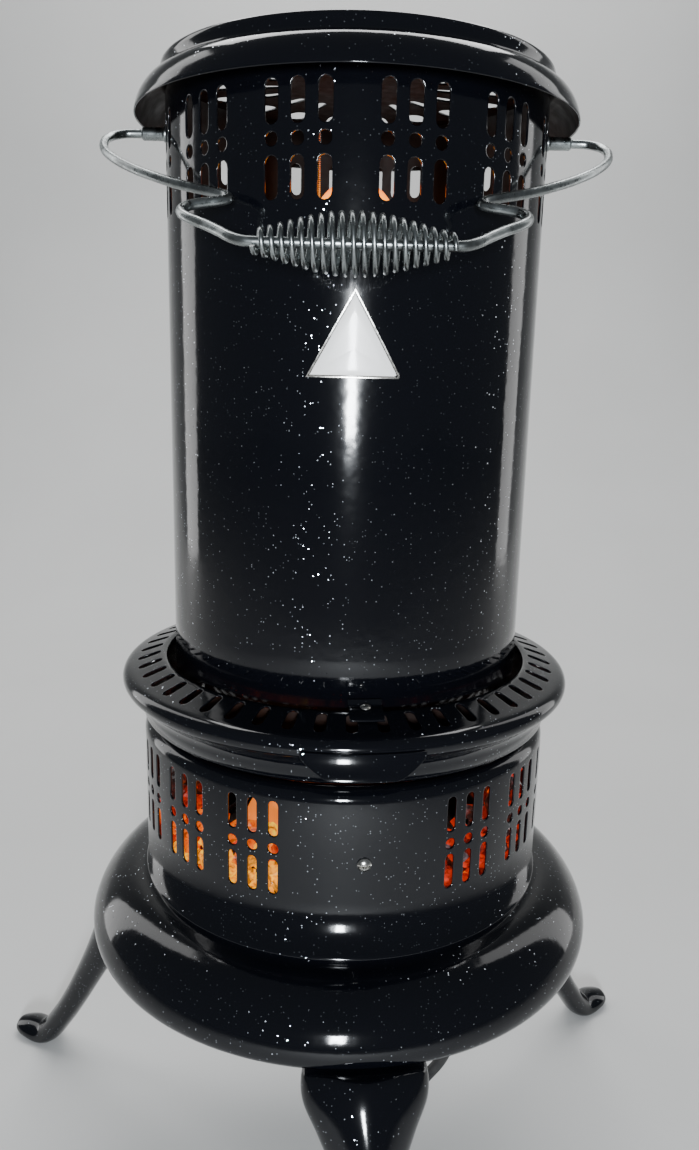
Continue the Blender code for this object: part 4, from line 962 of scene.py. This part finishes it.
def pan(looks):
    """Base pan with pressed rings, holes for the bolts, the lead and the burner's air."""
    z = PAN_Z
    t = 0.0014
    profile = [(0.0300, z), (0.0310, z + 0.0001)]
    for r in (0.0500, 0.0900):
        profile += [(r - 0.003, z + 0.0001), (r, z + 0.0009), (r + 0.003, z + 0.0001)]
    profile += [(0.1200, z + 0.0001), (0.1467, z + 0.0001), (0.1474, z + 0.0008), (0.1475, z + 0.0070)]
    sheet = Sheet(profile, t * 0.8, side=1)
    holes = []
    for az in LEG_AZ:
        holes.append(sheet.hole(disc(0.0066), az, sheet_distance(sheet, BOLT_R)))
    az = math.degrees(math.atan2(GROMMET[0], -GROMMET[1]))
    holes.append(sheet.hole(disc(0.0116, 20), az, sheet_distance(sheet, math.hypot(*GROMMET))))
    for k in range(12):
        holes.append(sheet.hole(disc(0.0080, 16), 30.0 * k + 20.0, sheet_distance(sheet, 0.0700)))
    sheet.build("base_floor", 120, holes, [looks["satin"], looks["satin"]], "base", "black", "base_pan")


def sheet_distance(sheet, r):
    """Distance along a profile whose radius grows, at its first crossing of r."""
    for i in range(len(sheet.r) - 1):
        if sheet.r[i] <= r < sheet.r[i + 1]:
            share = (r - sheet.r[i]) / (sheet.r[i + 1] - sheet.r[i])
            return float(sheet.s[i] + share * (sheet.s[i + 1] - sheet.s[i]))
    return float(sheet.s[-1])


def amber_glass(looks):
    """Heap of broken glass lumps on its tray; the glow of the lamp at the left front is painted into them,
    nearest brightest.
    """
    at = Matrix.Translation(AXIS)
    lathe("chip_tray", [(0.0868, 0.2058), (0.1152, 0.2058), (0.1152, 0.2070), (0.0880, 0.2070),
                        (0.0880, 0.2190), (0.0868, 0.2190)], at, looks["satin"], "base", "black",
          "glass_tray", segments=120)
    rng = random.Random(11)
    bm = bmesh.new()
    for layer in range(6):
        count = 64
        for i in range(count):
            az = 360.0 * (i + 0.5 * (layer % 2) + rng.uniform(-0.35, 0.35)) / count
            for r in ((0.0945, 0.1065) if layer < 4 else (0.1025,)):
                size = rng.uniform(0.0046, 0.0066)
                centre = polar(r + rng.uniform(-0.0018, 0.0018), az,
                               0.2125 + layer * 0.0088 + rng.uniform(-0.0015, 0.0015))
                # Each lump takes a step of painted lamp glow by where it lies.
                chip(bm, rng, centre, size, painted_glow_index(az, layer, rng))
    mesh = bpy.data.meshes.new("amber_glass")
    bm.to_mesh(mesh)
    bm.free()
    add("amber_glass", mesh, looks["painted_glow_chips"], "base", "amber", "amber_bed")


def painted_glow_index(az, layer, rng):
    """Material index of a lump by painted lamp light: brighter towards the lamp and low in the heap."""
    # Painted glow falls off with the angle from the lamp; lumps far from it get a random painted glow.
    away = abs((az + 32 + 180) % 360 - 180)
    bright = max(0.0, 1.0 - away / 46.0) + (0.30 if layer < 3 else -0.05) + rng.uniform(-0.42, 0.34)
    if away > 60:
        bright = rng.uniform(-0.3, 0.42) + (0.10 if layer < 3 else 0.0)
    for index, limit in enumerate((0.82, 0.48, 0.22, 0.02)):
        if bright > limit:
            return index
    return 4


def chip(bm, rng, centre, size, index):
    """Convex lump round points spread evenly over a stretched ball."""
    verts = []
    golden_angle = 2.39996
    stretch = Vector((rng.uniform(0.8, 1.25), rng.uniform(0.8, 1.25), rng.uniform(0.7, 1.1)))
    for k in range(11):
        z = 1 - 2 * (k + 0.5) / 11
        a = k * golden_angle + rng.uniform(-0.5, 0.5)
        r = math.sqrt(1 - z * z)
        point = Vector((r * math.cos(a) * stretch.x, r * math.sin(a) * stretch.y, z * stretch.z))
        verts.append(bm.verts.new(centre + point * size * rng.uniform(0.8, 1.0)))
    made = bmesh.ops.convex_hull(bm, input=verts)
    for face in made["geom"]:
        if isinstance(face, bmesh.types.BMFace):
            face.material_index = index


def lamp(prefix, matrix, looks, bulb, glow, neck, body):
    """Socket, screw cap and lit bulb; neck is the socket's height."""
    holder = [(0.0, 0.0), (0.0145, 0.0), (0.0165, 0.0020), (0.0165, 0.0060), (0.0160, 0.0066),
              (0.0165, 0.0072), (0.0165, neck * 0.68), (0.0158, neck * 0.72), (0.0150, neck),
              (0.0133, neck), (0.0133, 0.0060), (0.0, 0.0060)]
    lathe(prefix + "_socket", holder, matrix, looks["bakelite"], body, "black", prefix + "_holder",
          segments=60)
    cap = [(0.0, 0.0063), (0.0060, 0.0063), (0.0118, 0.0092)]
    turns = 5
    for k in range(turns):
        z = 0.0100 + (neck - 0.0100) * k / turns
        step = (neck - 0.0100) / turns
        cap += [(0.0121, z), (0.0129, z + step * 0.5)]
    cap += [(0.0121, neck), (0.0126, neck + 0.0010), (0.0, neck + 0.0010)]
    lathe(prefix + "_screw_cap", cap, matrix, looks["brass"], body, "brass", prefix + "_cap",
          segments=60, soft=0.0003)
    outline = curve_through([(r, z + neck + 0.0013) for r, z in bulb], 5)
    outline = [(max(float(r), 0.0), float(z)) for r, z in outline]
    outline[-1] = (0.0, outline[-1][1])
    bm = lathe_bm(outline, 56, matrix, closed=False)
    add(prefix + "_bulb", to_mesh("bulb", bm, 70.0), looks[glow], body, "glass", prefix + "_glass")


def lamps(looks):
    round_bulb = [(0.0, 0.0), (0.0125, 0.0), (0.0135, 0.0060), (0.0180, 0.0135), (0.0218, 0.0220),
                  (0.0225, 0.0310), (0.0200, 0.0410), (0.0135, 0.0490), (0.0060, 0.0525), (0.0, 0.0530)]
    candle = [(0.0, 0.0), (0.0115, 0.0), (0.0150, 0.0080), (0.0160, 0.0160), (0.0145, 0.0260),
              (0.0095, 0.0360), (0.0040, 0.0430), (0.0, 0.0450)]
    top = Matrix.Translation(AXIS + Vector((0, 0, PLATE_Z + 0.0015 + GAP)))
    lamp("upper_lamp", top, looks, round_bulb, "bulb", 0.0290, "upper")
    low = upright(LOW_LAMP_R, LOW_LAMP_AZ, TANK_TOP + GAP)
    lamp("lower_lamp", low, looks, candle, "low_bulb", 0.0230, "base")


def threaded_rod(looks):
    """Rod with a rolled thread and two hexagon nuts."""
    at = Matrix.Translation(AXIS + Vector((*ROD_XY, PLATE_Z)))
    bottom, length, pitch = -0.0070, 0.1150, 0.0010
    rows = round(length / pitch * 10)
    bm = bmesh.new()
    rings = [circle(bm, at, 20, 0.0018, bottom)]
    for j in range(1, rows):
        z = bottom + length * j / rows

        def thread(a):
            return 0.0025 - 0.00055 * abs(((z / pitch - a / math.tau) % 1.0) * 2 - 1)

        rings.append(circle(bm, at, 20, thread, z))
    rings.append(circle(bm, at, 20, 0.0018, bottom + length))
    loft_rings(bm, rings)
    add("threaded_rod", to_mesh("rod", bm, 80.0), looks["nickel"], "upper", "steel", "lamp_rod")
    for name, node, z in (("nut_below", "rod_nut_low", -0.0043), ("nut_above", "rod_nut_high", 0.0018)):
        nut(name, at @ Matrix.Translation((0, 0, z)), looks, node)


def nut(name, matrix, looks, node):
    """Hexagon nut with chamfered corners."""
    radius, height, bore = 0.0052, 0.0040, 0.0027
    bm = bmesh.new()
    rings = []
    for z, share in ((0.0, 0.90), (0.10, 0.985), (0.90, 0.985), (1.0, 0.90)):

        def outside(a):
            flat = radius * math.cos(math.pi / 6) / math.cos((a % (math.pi / 3)) - math.pi / 6)
            return min(flat, radius * share)

        rings.append(circle(bm, matrix, 48, outside, height * z))
    rings += [circle(bm, matrix, 48, bore, z) for z in (height, 0.0)]
    loft_rings(bm, rings, closed=True)
    add(name, to_mesh(name, bm, 25.0), looks["nickel"], "upper", "steel", node)


def wires(looks):
    """Wires inside the body."""
    gx, gy = GROMMET
    az = math.degrees(math.atan2(gx, -gy))
    low = [(gx, gy, 0.1652), local(0.1140, az - 1, 0.1760), local(0.1114, az - 3, 0.1880),
           local(0.1085, az - 9, 0.1988), local(0.0930, az - 24, 0.2003), local(0.0820, az - 37, 0.2008),
           local(0.0780, az - 48, 0.2010), local(0.0864, LOW_LAMP_AZ + 3, 0.2012)]
    link = [local(0.0790, LOW_LAMP_AZ - 14, 0.2020), local(0.0770, -70, 0.2005), local(0.0840, -105, 0.2000),
            local(0.0840, -140, 0.2015), local(0.0830, -165, 0.2200), local(0.0900, -172, 0.2640),
            local(0.0980, -173, 0.2730)]
    up = [(0.0, 0.0, PLATE_Z - 0.0004), (0.0, 0.0030, 0.4880), (0.0, 0.0300, 0.4720),
          (0.0, 0.0700, 0.4500), (-0.0040, 0.0900, 0.4000), (-0.0090, 0.0900, 0.3400),
          (-0.0110, 0.0880, 0.3120), (-0.0110, 0.0930, 0.2950), (-0.0108, 0.1010, 0.2868)]
    for name, points, body, node in (("wire_low", low, "base", "inner_lead_low"),
                                     ("wire_link", link, "base", "inner_lead_link"),
                                     ("wire_up", up, "upper", "inner_lead_up")):
        path = [AXIS + Vector(p) for p in curve_through(points, 8)]
        tube(name, path, 0.0018, 14, looks["rubber"], body, "rubber", node)


def local(r, az, z):
    """Place round the drum's axis, measured from AXIS."""
    return tuple(polar(r, az, z) - AXIS)


# ---------------------------------------------------------------- upper body

def drum(looks):
    """Upper drum with twelve groups of vents and the holes for the bail."""
    profile = [(DRUM_R, z) for z in (DRUM_FOOT, 0.3500, 0.4000, 0.4500, 0.5000, 0.5560, 0.6150, 0.6333)]
    sheet = Sheet(profile, WALL)
    slot = oblong(0.0066, 0.0186)
    groups = [15 + 30 * k for k in range(12)]
    holes = vents(sheet, groups, 7.15, ((slot, 0.5701), (disc(0.0062, 16), 0.5860), (slot, 0.6011)))
    for az in (90.0, 270.0):
        holes.append(sheet.hole(disc(0.0050), az, sheet.at_height(BAIL_Z)))
    sheet.build("drum_shell", 180, holes, [looks["enamel"], looks["lining"]], "upper", "enamel",
                "upper_drum")


def ring(looks):
    """Louvred ring: inner collar, sloping top with slots, and a rolled outer edge."""
    slope = [(0.1038, 0.3110), (0.1038, 0.3245), (0.1041, 0.3257), (0.1050, 0.3265), (0.1066, 0.3265),
             (0.1082, 0.3261), (0.1226, 0.3212)]
    arc = [(0.1230 + 0.0062 * math.cos(a), 0.3152 + 0.0058 * math.sin(a))
           for a in (math.radians(78 - 14 * k) for k in range(0, 9))]
    under = [(0.1240, 0.3086), (0.1200, 0.3055), (0.1180, 0.3000), (0.1176, 0.2950), (0.1150, 0.2930),
             (0.1107, 0.2916)]
    sheet = Sheet(slope + arc + under, WALL, side=-1)
    shape = oblong(0.0056, 0.0142)
    middle = sheet_distance(sheet, 0.1140)
    holes = [sheet.hole(shape, (BASE_TURN + 7.5 * (k + 0.5)) % 360.0, middle) for k in range(48)]
    sheet.build("louvre_shell", 192, holes, [looks["enamel"], looks["lining"]], "upper", "enamel",
                "louver_ring")


def brim(looks):
    """Rounded top band and the convex brim below it."""
    crown = [(0.0968, 0.6340), (0.0975, 0.6347), (0.0990, 0.6350), (0.1003, 0.6347), (0.1009, 0.6338),
             (0.1010, 0.6320), (0.1010, 0.6290), (0.1013, 0.6278), (0.1024, 0.6272)]
    skirt = [tuple(p) for p in curve_through([(0.1024, 0.6272), (0.1060, 0.6256), (0.1098, 0.6222),
                                              (0.1127, 0.6176), (0.1143, 0.6130), (0.1146, 0.6112)], 4)]
    sheet = Sheet(crown + skirt[1:] + [(0.1144, 0.6107)], 0.0009, side=-1)
    sheet.build("brim_shell", 180, [], [looks["enamel"], looks["lining"]], "upper", "enamel", "cap_brim")


def grille(looks):
    """Pierced top plate, dished a little, with a centre rivet."""
    profile = [(0.0120, 0.6322), (0.0150, 0.6328), (0.0170, 0.6332), (0.0360, 0.6332), (0.0385, 0.6328),
               (0.0640, 0.6328), (0.0665, 0.6332), (0.0900, 0.6332), (0.0964, 0.6332)]
    sheet = Sheet(profile, 0.0010, side=-1)
    holes = []
    for k in range(20):
        for shape, r in ((oblong(0.0058, 0.0180, 5), 0.0500), (oblong(0.0116, 0.0205, 7), 0.0780)):
            holes.append(sheet.hole(shape, 18.0 * k + 9.0, sheet_distance(sheet, r)))
    sheet.build("grille_plate", 160, holes, [looks["enamel"], looks["lining"]], "upper", "enamel",
                "cap_grille")
    lathe("centre_rivet", [(0.0, 0.6350), (0.0050, 0.6349), (0.0100, 0.6345), (0.0130, 0.6339),
                           (0.0135, 0.6335), (0.0118, 0.6333), (0.0, 0.6333)],
          Matrix.Translation(AXIS), looks["nickel"], "upper", "enamel", "grille_button", segments=72,
          soft=0.0002)


def lip(looks):
    """Pressed finger lip: a bent tapering tab with a rolled lower edge."""
    rows = curve_through([(0.1307, 0.3152, 0.0300), (0.1309, 0.3140, 0.0304), (0.1316, 0.3112, 0.0290),
                          (0.1330, 0.3078, 0.0248), (0.1343, 0.3053, 0.0208), (0.1349, 0.3038, 0.0180),
                          (0.1350, 0.3031, 0.0150)], 4)
    bend_sheet("lift_lip", rows, LIP_AZ, (0.0012, 0.0), 24, (0.00036, 3), looks["enamel"],
               "finger_lip")


def bend_sheet(name, rows, az, step, columns, soft, mat, *nodes):
    """Plate round the axis; rows are (radius, height, half width), step is (inwards, down)."""
    bm = bmesh.new()
    grids = []
    for inset, drop in ((0.0, 0.0), step):
        grid = []
        for r, z, half in rows:
            turn = math.degrees(half / r)
            grid.append([bm.verts.new(polar(r - inset, az + turn * (2 * k / columns - 1), z - drop))
                         for k in range(columns + 1)])
        grids.append(grid)
    front, back = grids
    last = len(rows) - 1
    for i in range(last):
        for k in range(columns):
            for grid in grids:
                bm.faces.new((grid[i][k], grid[i][k + 1], grid[i + 1][k + 1], grid[i + 1][k]))
        for k in (0, columns):
            bm.faces.new((front[i][k], front[i + 1][k], back[i + 1][k], back[i][k]))
    for i in (0, last):
        for k in range(columns):
            bm.faces.new((front[i][k], front[i][k + 1], back[i][k + 1], back[i][k]))
    bmesh.ops.recalc_face_normals(bm, faces=bm.faces)
    sharp = [e for e in bm.edges if e.is_manifold and e.calc_face_angle() > 0.9]
    bmesh.ops.bevel(bm, geom=sharp, offset=soft[0], segments=soft[1], affect="EDGES", profile=0.5)
    return add(name, to_mesh(name, bm, 50.0), mat, "upper", "enamel", *nodes)


def clip(looks):
    """Small plate screwed over the collar's edge, turned a little off the front."""
    rows = curve_through([(0.1003, 0.3310, 0.0085), (0.1028, 0.3284, 0.0085), (0.1068, 0.3281, 0.0085),
                          (0.1145, 0.3256, 0.0085)], 3)
    bend_sheet("collar_clip", rows, BASE_TURN, (0.0, 0.0010), 10, (0.00025, 2), looks["enamel"],
               "drum_clip")
    screw("collar_screw", upright(0.1055, BASE_TURN, 0.3285), 0.0027, 0.0015, looks, "upper",
          "clip_screw")


def badge(looks):
    """Blank enamelled triangle in a thin rim, bent to the drum."""
    base_z, apex_z, half = 0.4848, 0.5240, 0.0222
    az = 0.6
    outline = rounded([(-half, base_z), (half, base_z), (0.0, apex_z)], 0.0022)
    centre = Vector((0.0, base_z + (apex_z - base_z) / 3))

    def loop(bm, scale, r):
        points = []
        count = len(outline)
        for i in range(count):
            a, b = Vector(outline[i]), Vector(outline[(i + 1) % count])
            pieces = max(1, int((b - a).length / 0.003))
            for k in range(pieces):
                p = a.lerp(b, k / pieces)
                p = centre + (p - centre) * scale
                points.append(bm.verts.new(polar(r, az + math.degrees(p.x / r), p.y)))
        return points

    frame_steps = ((1.0, 0.0004), (1.0, 0.0014), (0.988, 0.0018), (0.950, 0.0018), (0.930, 0.0014),
                   (0.930, 0.0004))
    face_steps = ((0.915, 0.0004), (0.915, 0.0010), (0.900, 0.0014), (0.86, 0.0015), (0.6, 0.0015),
                  (0.3, 0.0015), (0.02, 0.0015))
    for name, steps, closed, look, slot, node in (
            ("badge_frame", frame_steps, True, "nickel", "steel", "badge_rim"),
            ("badge_face", face_steps, False, "badge", "white", "badge_plate")):
        bm = bmesh.new()
        loft_rings(bm, [loop(bm, scale, DRUM_R + rise) for scale, rise in steps], closed)
        add(name, to_mesh(name, bm), looks[look], "upper", slot, node)


# ---------------------------------------------------------------- handle

BAIL_HALF = [
    (0.0930, 0.0000), (0.0958, 0.0000), (0.1060, 0.0000), (0.1180, 0.0000), (0.1230, 0.0015),
    (0.1272, 0.0060), (0.1290, 0.0130), (0.1285, 0.0210), (0.1262, 0.0310), (0.1215, 0.0420),
    (0.1132, 0.0553), (0.1020, 0.0690), (0.0920, 0.0788), (0.0835, 0.0862), (0.0752, 0.0922),
    (0.0668, 0.0972), (0.0600, 0.1014), (0.0562, 0.1053), (0.0557, 0.1093), (0.0594, 0.1128),
    (0.0650, 0.1153), (0.0705, 0.1190), (0.0730, 0.1247), (0.0722, 0.1305), (0.0680, 0.1365),
    (0.0610, 0.1435), (0.0545, 0.1510), (0.0490, 0.1580), (0.0440, 0.1620), (0.0395, 0.1631),
]
BAIL_REST = 25.0
BAIL_Z = 0.6060
GRIP_V = 0.1631


def bail(looks):
    """Wire bail with its collars and the spring grip."""
    a = math.radians(BAIL_REST)
    along = Vector((0.0, -math.cos(a), -math.sin(a)))
    side = Vector((1.0, 0.0, 0.0))
    turn = Matrix((side, along, side.cross(along))).transposed().to_4x4()
    matrix = Matrix.Translation(AXIS + Vector((0, 0, BAIL_Z))) @ turn
    half = [tuple(p) for p in curve_through(BAIL_HALF, 5)]
    path = half + [(0.0, GRIP_V)] + [(-u, v) for u, v in reversed(half)]
    points = [matrix @ Vector((u, v, 0.0)) for u, v in path]
    tube("bail_bar", points, 0.0022, 20, looks["wire"], "handle", "steel", "bail_wire")
    collar = rounded([(0.0, 0.0), (0.0036, 0.0), (0.0040, 0.0008), (0.0040, 0.0018), (0.0033, 0.0024),
                      (0.0033, 0.0128), (0.0028, 0.0136), (0.0, 0.0136)], 0.0004)
    bm = bmesh.new()
    for sign in (1, -1):
        place = Matrix.Translation(AXIS + Vector((sign * (DRUM_R + 0.0004), 0, BAIL_Z)))
        part = lathe_bm(collar, 32, place @ Matrix.Rotation(math.radians(90 * sign), 4, "Y"))
        half_pair = to_mesh("collar", part)
        bm.from_mesh(half_pair)
    add("bail_collars", to_mesh("bail_collars", bm), looks["wire"], "handle", "steel")
    turns = 20
    steps = 28
    points = []
    for i in range(turns * steps + 1):
        t = i / (turns * steps)
        bulge = math.sin(math.pi * t) ** 1.3
        r = 0.0042 + 0.0073 * bulge
        b = math.tau * turns * t
        points.append(matrix @ Vector((0.0395 * (2 * t - 1), GRIP_V + r * math.cos(b), r * math.sin(b))))
    tube("grip_spring", points, 0.00105, 12, looks["wire"], "handle", "steel", "bail_grip")


# ---------------------------------------------------------------- plain CAD nodes, light, stage

def dress(looks):
    """CAD nodes whose shape is right as it is get the finished materials."""
    plan = {
        "enamel": ("hinge_leaf_lower", "hinge_leaf_upper"),
        "steel": ("hinge_pin", "lamp_plate", "leg_bolt_1", "leg_bolt_2", "leg_bolt_3"),
        "brass": ("wick_carrier",),
        "porcelain": ("terminal_block",),
    }
    for look, names in plan.items():
        for name in names:
            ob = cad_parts[name]
            for slot in ob.material_slots:
                slot.material = looks[look]


def area(name, place, target, width, height, power, colour=(1.0, 1.0, 1.0)):
    data = bpy.data.lights.new(name, "AREA")
    data.shape = "RECTANGLE"
    data.size = width
    data.size_y = height
    data.energy = power
    data.color = colour
    ob = bpy.data.objects.new(name, data)
    ob.location = place
    ob.rotation_mode = "QUATERNION"
    ob.rotation_quaternion = (Vector(target) - Vector(place)).to_track_quat("-Z", "Y")
    bpy.context.collection.objects.link(ob)


def stage():
    """Pale floor that runs back and curves up into a plain wall."""
    section = [(-4.0, 0.0), (0.9, 0.0)]
    section += [(0.9 + 1.0 * math.sin(a), 1.0 - 1.0 * math.cos(a))
                for a in (math.radians(5 * k) for k in range(1, 19))]
    section += [(1.9, 4.0)]
    bm = bmesh.new()
    rows = [[bm.verts.new((x, y, z - 0.0002)) for x in (-5.0, 5.0)] for y, z in section]
    for (a, b), (c, d) in zip(rows, rows[1:]):
        bm.faces.new((a, b, d, c))
    mesh = bpy.data.meshes.new("floor")
    bm.to_mesh(mesh)
    bm.free()
    mesh.shade_smooth()
    floor = bpy.data.objects.new("floor", mesh)
    look = worn_look("pale_floor", (0.62, 0.62, 0.61), 0.7, stain=(3.0, 4.0),
                     stops=[(0.3, (0.60, 0.60, 0.59)), (0.7, (0.64, 0.64, 0.63))])
    mesh.materials.append(look.mat)
    bpy.context.collection.objects.link(floor)


def light():
    world = bpy.data.worlds.new("studio")
    world.use_nodes = True
    bpy.context.scene.world = world
    back = world.node_tree.nodes["Background"]
    back.inputs["Color"].default_value = (0.80, 0.86, 0.92, 1.0)
    back.inputs["Strength"].default_value = 0.15
    x, y, z = AXIS
    area("front_strip", (x + 0.01, y - 1.30, z + 0.47), (x, y, z + 0.45), 0.10, 0.22, 23.0,
         (0.90, 0.95, 1.0))
    area("left_wall", (x - 1.5, y + 0.7, z + 1.0), (x, y, z + 0.4), 0.5, 2.2, 11.0)
    area("right_wall", (x + 1.5, y + 0.7, z + 1.0), (x, y, z + 0.4), 0.5, 2.2, 8.0)
    area("overhead", (x, y + 1.0, z + 2.1), (x, y + 0.9, z), 1.8, 0.9, 36.0)


def build():
    looks = make_looks()
    camera()
    lead(looks)
    for index in range(3):
        leg(index, looks)
    base_shell(looks)
    lower_shell(looks)
    screw("front_screw", outward(LOW_R + 0.0002, BASE_TURN, 0.2510), 0.0036, 0.0022, looks, "base",
          "panel_screw")
    pan(looks)
    tank(looks)
    burner(looks)
    amber_glass(looks)
    lamps(looks)
    threaded_rod(looks)
    wires(looks)
    drum(looks)
    ring(looks)
    brim(looks)
    grille(looks)
    lip(looks)
    clip(looks)
    badge(looks)
    bail(looks)
    dress(looks)
    stage()
    light()


build()
